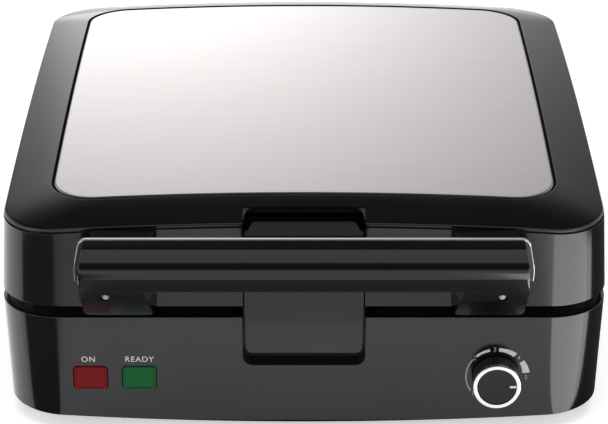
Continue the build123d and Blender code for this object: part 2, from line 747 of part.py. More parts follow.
def lid_top_frame():
    """Sloping frame from the seam up to the panel, with a lip and a sunk panel seat."""
    outer = crowned_stack([
        (SEAM_W, SEAM_D, SEAM_R, Z_SEAM - LIP_H),
        (SEAM_W, SEAM_D, SEAM_R, Z_SEAM),
        (PANEL_W, PANEL_D, PANEL_R, Z_PANEL),
        (PANEL_W, PANEL_D, PANEL_R, Z_PANEL - SEAT_DROP),
    ])
    wall = 2 * FRAME_T
    seat_low = Z_PANEL - SEAT_DROP - FRAME_T
    hollow = crowned_stack([
        (SEAM_W - wall, SEAM_D - wall, SEAM_R - FRAME_T, Z_SEAM - LIP_H - FRAME_T),
        (SEAM_W - wall, SEAM_D - wall, SEAM_R - FRAME_T, Z_SEAM - FRAME_T),
        (PANEL_W, PANEL_D, PANEL_R, seat_low),
    ])
    frame = Part(outer.wrapped) - Part(hollow.wrapped)
    frame -= panel_column(SEAT_W)
    frame -= bar(0, 2 * BAY_HALF, Y_FRONT - PASS, Y_FRONT + BAY_DEPTH, Z_LID, Z_ABOVE)
    return one_solid(frame)


def steel_panel():
    """Crowned sheet on the frame's seat."""
    low = Z_PANEL - SEAT_DROP + FIT
    return one_solid((panel_column(PANEL_GAP) & dome(PANEL_D, low + PANEL_T)) - dome(PANEL_D, low))


def grip_profile():
    """Handle section: two stepped front faces with sloped brows, a slanted underside and a flat back."""
    sketch = polygon(
        at_lid(GRIP_LOW_OUT, GRIP_LOW),
        at_lid(GRIP_OUT, FRONT_LOW),
        at_lid(BROW_OUT, BROW_H),
        at_lid(CREASE_OUT, CREASE_H),
        at_lid(STEP_OUT, STEP_TOP),
        at_lid(TRIM_OUT, GRIP_TOP),
        at_lid(GRIP_BACK, GRIP_TOP - GRIP_R),
        at_lid(GRIP_BACK, BACK_LOW),
    )
    brows = [v for v in sketch.vertices() if at_brow(v)]
    return fillet(brows, GRIP_R)


def at_brow(vertex):
    """Is this one of the two rounded brows of the handle section?"""
    brows = (at_lid(BROW_OUT, BROW_H), at_lid(STEP_OUT, STEP_TOP))
    return any(math.dist((vertex.X, vertex.Y), brow) < FIT for brow in brows)


def mirrored_outline(right):
    """A front outline from the points of its right half, top first."""
    left = [(-x, z) for x, z in reversed(right)]
    return polygon(*right, *left)


def grip_front():
    """Front outline of the handle, whose ends lean out towards the lower front edge."""
    return mirrored_outline([
        (GRIP_HALF - GRIP_LEAN, Z_LID + GRIP_TOP + PASS),
        (GRIP_HALF, Z_LID + FRONT_LOW),
        (GRIP_HALF - ARM_INSET / 2, Z_LID + GRIP_LOW - PASS),
    ])


def trim_front():
    """Front outline of the bright strip, widest below its middle."""
    top = Z_LID + GRIP_TOP + TRIM_PROUD
    wide = Z_LID + TRIM_WIDE_UP
    shape = mirrored_outline([
        (TRIM_HALF - TRIM_TOP_IN, top),
        (TRIM_HALF, wide),
        (TRIM_HALF - TRIM_LOW_IN, Z_LID + GRIP_LOW - PASS),
    ])
    shape = fillet([v for v in shape.vertices() if v.Y > top - FIT], TRIM_R)
    return fillet([v for v in shape.vertices() if abs(v.Y - wide) < FIT], TRIM_WIDE_R)


def grip_bar(out_low, out_high):
    """Part of the handle between two distances from the lid's face."""
    reach = GRIP_HALF + PASS
    grip = side_profile(grip_profile(), -reach, reach)
    grip &= front_profile(grip_front(), Y_FRONT - GRIP_OUT - PASS, Y_FRONT)
    length = GRIP_OUT + GRIP_END_R
    plan = RectangleRounded(2 * GRIP_HALF, length, GRIP_END_R)
    grip &= slab(Pos(0, Y_FRONT - GRIP_OUT + length / 2) * plan, Z_LID, Z_ABOVE)
    grip &= bar(0, 2 * reach, Y_FRONT - out_high, Y_FRONT - out_low, Z_LID, Z_ABOVE)
    return one_solid(grip)


def handle_cover():
    """Stepped front of the handle."""
    return grip_bar(TRIM_OUT + TRIM_T / 2, GRIP_OUT)


def handle_trim():
    """Bright strip clamped between the cover and the back."""
    reach = TRIM_HALF + PASS
    strip = front_profile(trim_front(), Y_FRONT - TRIM_OUT - TRIM_T / 2, Y_FRONT - TRIM_OUT + TRIM_T / 2)
    return one_solid(strip & (Pos(0, 0, TRIM_PROUD) * side_profile(grip_profile(), -reach, reach)))


def handle_back():
    """Rear bar of the handle."""
    return grip_bar(GRIP_BACK, TRIM_OUT - TRIM_T / 2)


def arm_front(side):
    """Front outline of an arm, which leans towards the middle and has round lower corners."""
    outer = GRIP_HALF - ARM_INSET
    inner = outer - ARM_W
    top = Z_LID + ARM_TOP
    shape = polygon(
        (side * outer, Z_LID),
        (side * (outer - ARM_LEAN), top),
        (side * (inner - ARM_LEAN), top),
        (side * inner, Z_LID),
    )
    return fillet([v for v in shape.vertices() if v.Y < Z_LID + FIT], ARM_R)


def arm_screw_x():
    """X of the two handle screws."""
    return [side * (GRIP_HALF - ARM_INSET - ARM_SCREW_IN) for side in (-1, 1)]


def slope_out(up):
    """Distance of the handle's slanted underside from the lid's face, at a height up the lid."""
    return GRIP_OUT - (FRONT_LOW - up) * (GRIP_OUT - GRIP_LOW_OUT) / (FRONT_LOW - GRIP_LOW)


def handle_arm(side):
    """Arm from the lid's face to the handle, on the slant of the handle's underside."""
    shape = polygon(
        at_lid(FIT, 0),
        at_lid(slope_out(0), 0),
        at_lid(GRIP_LOW_OUT, GRIP_LOW),
        at_lid(GRIP_BACK, BACK_LOW),
        at_lid(GRIP_BACK, ARM_TOP),
        at_lid(FIT - ARM_TOP * LID_SLOPE, ARM_TOP),
    )
    arm = side_profile(shape, -GRIP_HALF, GRIP_HALF)
    arm &= front_profile(arm_front(side), Y_FRONT - GRIP_OUT, Y_REAR)
    x = arm_screw_x()[0 if side < 0 else 1]
    y, z = at_lid(0, ARM_SCREW_UP)
    seat = y - slope_out(ARM_SCREW_UP) / 2
    arm -= y_rod(SCREW_HEAD_R + SCREW_FIT, x, y - GRIP_OUT, seat, z)
    arm -= y_rod(SCREW_R + SCREW_FIT, x, y - GRIP_OUT, y + PASS, z)
    return one_solid(arm)


def handle_screws():
    """One screw through each arm into the lid wall."""
    screws = []
    for x in arm_screw_x():
        y, z = at_lid(0, ARM_SCREW_UP)
        seat = y - slope_out(ARM_SCREW_UP) / 2
        head = y_rod(SCREW_HEAD_R, x, seat - SCREW_HEAD_T, seat, z)
        screws.append(one_solid(head + y_rod(SCREW_R, x, seat, y + WALL + PASS, z)))
    return Compound(screws)


def latch_flap():
    """Rocking latch: front plate, thumb ledge, barrels on the pin and a hook nose."""
    high = Z_LID + FLAP_TOP
    low = Z_LID - FLAP_DROP
    plate = mirrored_outline([(FLAP_HALF, high), (FLAP_HALF, Z_LID), (FLAP_LOW_HALF, low)])
    corners = [v for v in plate.vertices() if v.Y < low + FIT]
    front = Y_FRONT - FLAP_PROUD
    back = front + FLAP_T
    flap = front_profile(fillet(corners, FLAP_R), front, back)
    flap += bar(0, 2 * FLAP_HALF, Y_FRONT - LEDGE_OUT, Y_FRONT + LEDGE_IN, high - LEDGE_T, high)
    y, z = at_lid(-PIVOT_IN, PIVOT_UP)
    for side in (-1, 1):
        ends = sorted((side * BARREL_IN, side * BARREL_OUT))
        flap += x_rod(BARREL_R, ends[0], ends[1], y, z)
    hook_high = Z_LID + HOOK_UP
    flap += bar(0, 2 * HOOK_HALF, back - BITE, Y_FRONT + HOOK_IN, hook_high - HOOK_H, hook_high)
    flap -= x_rod(PIN_R + RUN_GAP, -BAY_HALF, BAY_HALF, y, z)
    flap -= x_rod(SPRING_R + 2 * SPRING_WIRE_R, -BARREL_IN, BARREL_IN, y, z)
    return one_solid(flap)


def latch_pin():
    """Pin across the latch bay."""
    y, z = at_lid(-PIVOT_IN, PIVOT_UP)
    half = BAY_HALF + POCKET_WALL
    return one_solid(x_rod(PIN_R, -half, half, y, z))


def latch_spring():
    """Torsion spring round the pin, between the barrels."""
    y, z = at_lid(-PIVOT_IN, PIVOT_UP)
    length = SPRING_PITCH * SPRING_TURNS
    coil = Helix(pitch=SPRING_PITCH, height=length, radius=SPRING_R - SPRING_WIRE_R)
    wire = sweep(Plane(origin=coil @ 0, z_dir=coil % 0) * Circle(SPRING_WIRE_R), coil, is_frenet=True)
    return one_solid(Pos(-length / 2, y, z) * Rot(0, 90, 0) * wire)


def latch_keeper():
    """Steel keeper on the pocket's back wall, with a lip above the hook nose."""
    back = Y_FRONT + POCKET_DEPTH
    lip_front = Y_FRONT + HOOK_IN + HOOK_PLAY
    lip_low = Z_LID + HOOK_UP + HOOK_PLAY
    width = 2 * KEEPER_HALF
    plate = bar(0, width, back - KEEPER_T, back, lip_low - 2 * HOOK_H, lip_low + 2 * KEEPER_T)
    return one_solid(plate + bar(0, width, lip_front, back, lip_low, lip_low + KEEPER_T))


def knob_base():
    """Y of the knob's front disc and of its back."""
    return Y_FRONT - KNOB_OUT + KNOB_FACE_IN, wall_face(CONTROL_Z) - KNOB_GAP


def control_knob():
    """Dark body of the knob on the thermostat shaft, stepped for the ring."""
    front, back = knob_base()
    step = Y_FRONT - KNOB_OUT + KNOB_RIM_D
    body = y_rod(KNOB_R - KNOB_RIM, DIAL_X, front, back, CONTROL_Z)
    body += y_rod(KNOB_R, DIAL_X, step + FIT, back, CONTROL_Z)
    body -= y_rod(SHAFT_R + SEAT_GAP, DIAL_X, (front + back) / 2, back + PASS, CONTROL_Z)
    return one_solid(body)


def knob_ring():
    """Bright ring round the knob's front."""
    front = Y_FRONT - KNOB_OUT
    back = front + KNOB_RIM_D
    ring = y_rod(KNOB_R, DIAL_X, front, back, CONTROL_Z)
    ring = fillet(ring.edges().group_by(Axis.Y)[0], KNOB_FACE_IN)
    return one_solid(ring - y_rod(KNOB_R - KNOB_RIM + SEAT_GAP, DIAL_X, front - PASS, back + PASS, CONTROL_Z))


def knob_pointer():
    """Raised tick on the knob's face, at three o'clock."""
    front, _ = knob_base()
    middle = DIAL_X + KNOB_R - KNOB_RIM - FIT - POINTER_L / 2
    half = POINTER_W / 2
    return one_solid(bar(middle, POINTER_L, front - POINTER_T, front, CONTROL_Z - half, CONTROL_Z + half))


def thermostat_shaft():
    """Shaft from the thermostat to the knob."""
    front, back = knob_base()
    return one_solid(y_rod(SHAFT_R, DIAL_X, (front + back) / 2, stat_front() + STAT_D / 2, CONTROL_Z))


def stat_front():
    """Y of the thermostat body's front."""
    return wall_face(CONTROL_Z) + WALL + BUSH_BACK


def thermostat_body():
    """Thermostat with its bush through the base wall."""
    front = stat_front()
    half = STAT_H / 2
    body = bar(DIAL_X, STAT_W, front, front + STAT_D, CONTROL_Z - half, CONTROL_Z + half)
    body += y_rod(BUSH_R, DIAL_X, wall_face(CONTROL_Z), front, CONTROL_Z)
    body -= y_rod(SHAFT_R + RUN_GAP, DIAL_X, Y_FRONT - PASS, front + STAT_D / 2 + FIT, CONTROL_Z)
    return one_solid(body)


def thermostat_nut():
    """Nut that clamps the bush behind the wall."""
    start = wall_face(CONTROL_Z - NUT_R) + WALL + FIT
    nut = front_profile(Pos(DIAL_X, CONTROL_Z) * RegularPolygon(NUT_R, 6), start, start + NUT_T)
    return one_solid(nut - y_rod(BUSH_R + SEAT_GAP, DIAL_X, start - PASS, start + NUT_T + PASS, CONTROL_Z))


def lens(x):
    """Lamp lens with a flange behind the wall."""
    front = wall_face(LAMP_Z + LENS_H / 2) - LENS_PROUD
    flange_front = wall_face(LAMP_Z - LENS_H / 2 - LENS_FLANGE) + WALL + FIT
    back = wall_face(LAMP_Z) + LENS_DEPTH
    block = front_profile(Pos(x, LAMP_Z) * lens_shape(0), front, back)
    block += front_profile(Pos(x, LAMP_Z) * lens_shape(LENS_FLANGE), flange_front, back)
    return one_solid(fillet(block.faces().sort_by(Axis.Y)[0].edges(), LENS_PROUD))


def indicator_lamps():
    """Two lamps between the board and the lenses."""
    back = board_front()
    lamps = [y_rod(LAMP_R, x, back - LAMP_L + FIT, back, LAMP_Z) for x in (LAMP_X_ON, LAMP_X_READY)]
    return Compound([one_solid(lamp) for lamp in lamps])


def lamp_board():
    """Circuit board on its two posts."""
    left, right = board_points()
    front = board_front()
    half = BOARD_H / 2
    width = right - left + 2 * BOARD_OVER
    return one_solid(bar((left + right) / 2, width, front, front + BOARD_T, LAMP_Z - half, LAMP_Z + half))


def terminal_block():
    """Mains terminals on the bottom cover."""
    back = Y_REAR - BLOCK_OFF
    high = COVER_TOP + BLOCK_H
    block = bar(GLAND_X, BLOCK_W, back - BLOCK_D, back, COVER_TOP, high)
    pitch = BLOCK_W / BLOCK_POLES
    for pole in range(BLOCK_POLES):
        x = GLAND_X + (pole - (BLOCK_POLES - 1) / 2) * pitch
        block -= z_rod(BLOCK_HOLE_R, x, back - BLOCK_D / 2, high - BLOCK_H / 2, high + PASS)
    return one_solid(block)


def cord_gland():
    """Flanged gland through the rear wall, bored for the mains lead."""
    face = Y_REAR - (Z_RIM - GLAND_Z - GLAND_FLANGE_R) * BASE_SLOPE + FIT
    inner = Y_REAR - GLAND_IN
    outer = face + GLAND_FLANGE_T
    gland = y_rod(GLAND_R, GLAND_X, inner, face, GLAND_Z)
    gland += y_rod(GLAND_FLANGE_R, GLAND_X, face, outer, GLAND_Z)
    return one_solid(gland - y_rod(GLAND_BORE_R, GLAND_X, inner - PASS, outer + PASS, GLAND_Z))


def mirrored(shape):
    """The lid's copy of a piece that was made for the base."""
    return mirror(shape, about=MIRROR)


def deck_notch():
    """Room for the latch pocket and the latch bay in a deck."""
    half = max(POCKET_HALF, BAY_HALF) + POCKET_WALL + DECK_FIT
    depth = max(POCKET_DEPTH, BAY_DEPTH) + POCKET_WALL + DECK_FIT
    return bar(0, 2 * half, Y_FRONT - PASS, Y_FRONT + depth, DECK_LOW - PASS, DECK_TOP + PASS)


def build():
    """Every piece under its own name."""
    return {
        "base_shell": base_shell(),
        "base_bezel": deck(),
        "base_bezel_screws": deck_screws(),
        "bottom_cover": bottom_cover(),
        "bottom_screws": bottom_screws(),
        "rubber_feet": rubber_feet(),
        "lower_waffle_plate": waffle_plate(),
        "lower_heating_element": heating_element(),
        "lower_element_saddles": element_saddles(),
        "lower_reflector": reflector(),
        "lower_release_tab": release_tab(),
        "thermostat_body": thermostat_body(),
        "thermostat_nut": thermostat_nut(),
        "thermostat_shaft": thermostat_shaft(),
        "control_knob": control_knob(),
        "knob_ring": knob_ring(),
        "knob_pointer": knob_pointer(),
        "on_lens": lens(LAMP_X_ON),
        "ready_lens": lens(LAMP_X_READY),
        "indicator_lamps": indicator_lamps(),
        "lamp_board": lamp_board(),
        "terminal_block": terminal_block(),
        "cord_gland": cord_gland(),
        "latch_keeper": latch_keeper(),
        "hinge_pin_left": hinge_pin(-1),
        "hinge_pin_right": hinge_pin(1),
        "lid_shell": lid_shell(),
        "lid_top_frame": lid_top_frame(),
        "steel_panel": steel_panel(),
        "lid_bezel": mirrored(deck()),
        "lid_bezel_screws": mirrored(deck_screws()),
        "upper_waffle_plate": mirrored(waffle_plate()),
        "upper_heating_element": mirrored(heating_element()),
        "upper_element_saddles": mirrored(element_saddles()),
        "upper_reflector": mirrored(reflector()),
        "upper_release_tab": mirrored(release_tab()),
        "handle_cover": handle_cover(),
        "handle_trim": handle_trim(),
        "handle_back": handle_back(),
        "handle_arm_left": handle_arm(-1),
        "handle_arm_right": handle_arm(1),
        "handle_screws": handle_screws(),
        "latch_flap": latch_flap(),
        "latch_pin": latch_pin(),
        "latch_spring": latch_spring(),
    }


os.makedirs("parts", exist_ok=True)
for node, shape in build().items():
    export_step(shape, f"parts/{node}.step")
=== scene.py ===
import json
import logging
import math
from dataclasses import dataclass
from enum import Enum

import bmesh
import bpy
import numpy as np
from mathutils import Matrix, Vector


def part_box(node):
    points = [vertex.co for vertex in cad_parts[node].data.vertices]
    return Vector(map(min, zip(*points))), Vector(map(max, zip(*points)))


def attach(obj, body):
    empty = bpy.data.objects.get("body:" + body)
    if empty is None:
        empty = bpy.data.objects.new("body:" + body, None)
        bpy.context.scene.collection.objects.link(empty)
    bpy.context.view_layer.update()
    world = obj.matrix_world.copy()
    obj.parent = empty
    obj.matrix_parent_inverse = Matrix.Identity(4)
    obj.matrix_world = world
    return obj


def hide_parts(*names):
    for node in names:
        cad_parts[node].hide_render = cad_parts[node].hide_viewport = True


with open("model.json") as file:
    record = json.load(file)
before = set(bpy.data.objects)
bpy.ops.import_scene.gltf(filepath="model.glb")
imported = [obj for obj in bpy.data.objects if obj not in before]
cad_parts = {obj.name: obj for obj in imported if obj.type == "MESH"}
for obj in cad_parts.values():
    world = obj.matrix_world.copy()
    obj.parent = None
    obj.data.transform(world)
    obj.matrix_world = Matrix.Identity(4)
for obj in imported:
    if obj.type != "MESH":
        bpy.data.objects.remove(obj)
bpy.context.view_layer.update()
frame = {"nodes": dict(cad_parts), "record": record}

Array = np.ndarray
Piece = bpy.types.Object
Pairs = tuple[tuple[float, float], ...]
LOG = logging.getLogger("waffle_maker")

MM = 0.001                      # sizes below are millimetres, Blender's are metres
MERGE = 2e-6                    # metres, points closer than this are one point
CREASE = math.radians(32.0)     # sharper edges stay crisp
QUARTER = math.pi / 2
ARC_STEPS = 18                  # points round a quarter circle
SIDE_STEPS = 24                 # points along a straight side of a loop
EDGE_STEPS = 5                  # points round a small edge
CORNER_STEPS = 9                # points round a corner that shows
TURN_STEPS = 72                 # points round a turned piece
ROUND = 1.17                    # reach of a parabola that stands for a quarter circle of radius 1
SHARP = 0.05                    # reach of a corner that stays sharp
CRISP = 0.1                     # reach of a crisp edge
EASED = 0.3                     # reach of an edge that is only just broken
PAST = 9.0                      # a cutting tool reaches this far past a wall
SMOOTHEST = 0.02                # lowest roughness of any finish
SRGB_FOOT = 0.04045             # the sRGB curve is straight below this
SRGB_SLOPE = 12.92              # slope of its foot
SRGB_SHIFT = 0.055              # shift and power of the rest
SRGB_POWER = 2.4


class Cut(Enum):
    """How one solid works on another."""

    JOIN = "UNION"
    REMOVE = "DIFFERENCE"
    COMMON = "INTERSECT"


class Axis(Enum):
    """The direction that an outline is carried along, and the columns of its own two coordinates."""

    X = (0, 1, 2)
    Y = (1, 0, 2)
    Z = (2, 0, 1)


class Side(Enum):
    """Left or right of the middle, as the sign of X."""

    LEFT = -1
    RIGHT = 1


def node_box(node: str) -> Array:
    """Lowest and highest corner of a solid of the frame, in millimetres, shape (2, 3)."""
    return np.array([list(corner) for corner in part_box(node)]) / MM


def softened(points: Array, reach: Array | list[float], steps: int = EDGE_STEPS) -> Array:
    """Rounds the corners of a closed outline.

    Each corner becomes a parabola: it leaves one side at the corner's reach, bends towards the corner and
    meets the next side at the same reach.

    Args:
        points: corners in order, shape (n, 2).
        reach: length along both sides of each corner.
        steps: points on each rounded corner.

    Returns:
        The rounded outline, shape (n * steps, 2).
    """
    before = np.roll(points, 1, axis=0) - points
    after = np.roll(points, -1, axis=0) - points
    length = np.asarray(reach, float)[:, None]
    start = points + before / np.linalg.norm(before, axis=1, keepdims=True) * length
    end = points + after / np.linalg.norm(after, axis=1, keepdims=True) * length
    s = np.linspace(0.0, 1.0, steps)[None, :, None]
    arc = (1 - s) ** 2 * start[:, None] + 2 * s * (1 - s) * points[:, None] + s ** 2 * end[:, None]
    return arc.reshape(-1, 2)


def rounded_loop(width: float, depth: float, radius: float) -> Array:
    """Rounded rectangle about the origin: four quarter circles and the straight sides between them.

    Args:
        width: size along X.
        depth: size along Y.
        radius: corner radius.

    Returns:
        Points in counter-clockwise order, shape (n, 2). The order is the same for every size.
    """
    angle = np.arange(4)[:, None] * QUARTER + np.linspace(0, QUARTER, ARC_STEPS + 1)[None, :]
    signs = np.array([[1, 1], [-1, 1], [-1, -1], [1, -1]])
    centre = signs * [width / 2 - radius, depth / 2 - radius]
    arcs = centre[:, None] + radius * np.stack([np.cos(angle), np.sin(angle)], axis=-1)
    t = np.linspace(0, 1, SIDE_STEPS + 2)[None, 1:-1, None]
    sides = arcs[:, -1:] * (1 - t) + np.roll(arcs, -1, axis=0)[:, :1] * t
    return np.concatenate([arcs, sides], axis=1).reshape(-1, 2)


def rectangle(a_low: float, a_high: float, b_low: float, b_high: float) -> Array:
    """Corners of a rectangle, counter-clockwise, shape (4, 2)."""
    return np.array([[a_low, b_low], [a_high, b_low], [a_high, b_high], [a_low, b_high]], float)


def mirrored(right: list[tuple[float, float]]) -> Array:
    """A front outline from the points of its right half, lowest first, shape (2 * n, 2)."""
    half = np.array(right, float)
    return np.concatenate([half, half[::-1] * [-1, 1]])


def past_corner(x: Array, y: Array) -> Array:
    """Distance past a corner's centre: straight where both are past it, or else the larger of the two."""
    return np.hypot(np.maximum(x, 0), np.maximum(y, 0)) + np.minimum(np.maximum(x, y), 0)


def smooth_step(t: Array) -> Array:
    """A step from 0 to 1 with level ends: three times the square less twice the cube."""
    return t * t * (3 - 2 * t)


def read_values(items: bpy.types.bpy_prop_collection, field: str, width: int, kind: type) -> Array:
    """Reads one property of every point, face or corner of a mesh at once.

    Args:
        items: the points, faces or corners.
        field: Blender's name of the property.
        width: numbers in the property.
        kind: type of the numbers.

    Returns:
        The values, shape (items, width).
    """
    values = np.empty(len(items) * width, kind)
    items.foreach_get(field, values)
    return values.reshape(-1, width)


def face_centres(mesh: bpy.types.Mesh) -> Array:
    """Middle of every face, in millimetres, shape (faces, 3)."""
    return read_values(mesh.polygons, "center", 3, np.float32) / MM


def mark_faces(mesh: bpy.types.Mesh, second: Array) -> None:
    """Gives the second finish to the faces that are true in an array."""
    mesh.polygons.foreach_set("material_index", second.astype(np.int32))


def tidy_mesh(mesh: bpy.types.Mesh) -> None:
    """Closes seams and poles, turns faces outwards and keeps only sharp edges crisp.

    Args:
        mesh: the mesh to change.
    """
    net = bmesh.new()
    net.from_mesh(mesh)
    bmesh.ops.remove_doubles(net, verts=net.verts, dist=MERGE)
    bmesh.ops.recalc_face_normals(net, faces=net.faces)
    net.to_mesh(mesh)
    net.free()
    mesh.shade_smooth()
    mesh.set_sharp_from_angle(angle=CREASE)


def placed(name: str, data: bpy.types.ID) -> Piece:
    """Puts a new object into the scene, at the origin.

    Args:
        name: name of the object.
        data: its mesh, letters, lamp or camera.

    Returns:
        The object.
    """
    piece = bpy.data.objects.new(name, data)
    bpy.context.scene.collection.objects.link(piece)
    return piece


def finished_mesh(piece: Piece) -> bpy.types.Mesh:
    """Works out the mesh that an object's modifiers, or its letters, give.

    Args:
        piece: the object, which is left as it is.

    Returns:
        A new mesh.
    """
    bpy.context.view_layer.update()
    graph = bpy.context.evaluated_depsgraph_get()
    return bpy.data.meshes.new_from_object(piece.evaluated_get(graph))


def mesh_piece(name: str, points: Array, faces: list[list[int]]) -> Piece:
    """Makes a piece from points and faces.

    Args:
        name: name of the new piece.
        points: places in millimetres, shape (n, 3).
        faces: point numbers of each face.

    Returns:
        The piece, with its mesh tidied.
    """
    mesh = bpy.data.meshes.new(name)
    mesh.from_pydata((points * MM).tolist(), [], faces)
    tidy_mesh(mesh)
    return placed(name, mesh)


def lofted(name: str, rings: Array, closed: bool = False) -> Piece:
    """Skins a stack of loops with four-sided faces.

    Args:
        name: name of the new piece.
        rings: loops of equal length in millimetres, shape (loops, points, 3).
        closed: joins the last loop to the first. Otherwise both end loops are capped.

    Returns:
        The closed solid.
    """
    count, size = rings.shape[:2]
    index = np.arange(count * size).reshape(count, size)
    lower = index if closed else index[:-1]
    upper = np.roll(index, -1, axis=0) if closed else index[1:]
    quads = np.stack([lower, np.roll(lower, -1, 1), np.roll(upper, -1, 1), upper], axis=-1)
    faces = quads.reshape(-1, 4).tolist()
    if not closed:
        faces += [index[0, ::-1].tolist(), index[-1].tolist()]
    return mesh_piece(name, rings.reshape(-1, 3), faces)


def prism(name: str, outline: Array, axis: Axis, low: float, high: float) -> Piece:
    """An outline carried straight along an axis.

    Args:
        name: name of the new piece.
        outline: closed outline in the other two axes, in their order, shape (n, 2).
        axis: direction of travel.
        low: start along the axis.
        high: end along the axis.

    Returns:
        The closed solid.
    """
    along, first, second = axis.value
    rings = np.empty((2, len(outline), 3))
    rings[:, :, first] = outline[:, 0]
    rings[:, :, second] = outline[:, 1]
    rings[:, :, along] = np.array([low, high])[:, None]
    return lofted(name, rings)


def turned(name: str, profile: Array, axis: Axis, centre: Array, closed: bool = False) -> Piece:
    """A turned piece: each profile point (radius, place along the axis) becomes a circle.

    Args:
        name: name of the new piece.
        profile: radius and place along the axis, shape (n, 2).
        axis: turning axis.
        centre: a point of the axis, shape (3,). The place along the axis adds to it.
        closed: the profile is a closed outline, as for a ring.

    Returns:
        The closed solid.
    """
    along, first, second = axis.value
    angle = np.linspace(0, 2 * math.pi, TURN_STEPS, endpoint=False)[None, :]
    rings = np.empty((len(profile), TURN_STEPS, 3))
    rings[:, :, first] = centre[first] + profile[:, :1] * np.cos(angle)
    rings[:, :, second] = centre[second] + profile[:, :1] * np.sin(angle)
    rings[:, :, along] = centre[along] + profile[:, 1:]
    return lofted(name, rings, closed)


def rod(name: str, radius: float, low: float, high: float, axis: Axis, centre: Array) -> Piece:
    """A plain cylinder between two places along an axis through a centre."""
    profile = np.array([[0, low], [radius, low], [radius, high], [0, high]], float)
    return turned(name, profile, axis, centre)


def carve(piece: Piece, tool: Piece, cut: Cut) -> Piece:
    """Joins, removes or intersects a solid, and drops the tool.

    Args:
        piece: the solid to work on.
        tool: the other solid, which is deleted.
        cut: what is done.

    Returns:
        The same piece, with its new mesh.
    """
    modifier = piece.modifiers.new("carve", "BOOLEAN")
    modifier.operation = cut.value
    modifier.solver = "EXACT"
    modifier.object = tool
    mesh = finished_mesh(piece)
    piece.modifiers.clear()
    piece.data = mesh
    mesh.name = piece.name
    bpy.data.objects.remove(tool)
    tidy_mesh(mesh)
    return piece


def soften(piece: Piece, width: float, segments: int = 2) -> Piece:
    """Rounds the crisp edges of a piece, and keeps its flat faces flat to the eye.

    Args:
        piece: the solid to round.
        width: width of the rounding.
        segments: faces across the rounding.

    Returns:
        The same piece.
    """
    sharp = piece.data.attributes.get("sharp_edge")
    if sharp is not None:
        piece.data.attributes.remove(sharp)
    bevel = piece.modifiers.new("rounded edges", "BEVEL")
    bevel.width = width * MM
    bevel.segments = segments
    bevel.limit_method = "ANGLE"
    bevel.angle_limit = CREASE
    piece.modifiers.new("flat faces", "WEIGHTED_NORMAL").keep_sharp = True
    return piece


def linear(colour: str) -> tuple[float, float, float, float]:
    """Turns an sRGB colour to linear light, by the standard's straight foot and its power curve.

    Args:
        colour: hex colour, such as #0b0b0c.

    Returns:
        Red, green, blue and an alpha of 1.
    """
    channels = np.frombuffer(bytes.fromhex(colour[1:]), np.uint8) / 255
    low = channels / SRGB_SLOPE
    high = ((channels + SRGB_SHIFT) / (1 + SRGB_SHIFT)) ** SRGB_POWER
    return (*np.where(channels <= SRGB_FOOT, low, high).tolist(), 1.0)


def even(size: float) -> tuple[float, float, float]:
    """A grain of the same size along X, Y and Z."""
    return (size, size, size)


def add_node(tree: bpy.types.NodeTree, kind: str, settings: dict, inputs: dict) -> bpy.types.Node:
    """Adds one node.

    Args:
        tree: the node tree.
        kind: Blender's name of the node.
        settings: the node's own properties.
        inputs: a value, or another node's socket to link, for each input's name or number.

    Returns:
        The new node.
    """
    node = tree.nodes.new(kind)
    for key, value in settings.items():
        setattr(node, key, value)
    for key, value in inputs.items():
        if isinstance(value, bpy.types.NodeSocket):
            tree.links.new(value, node.inputs[key])
        else:
            node.inputs[key].default_value = value
    return node


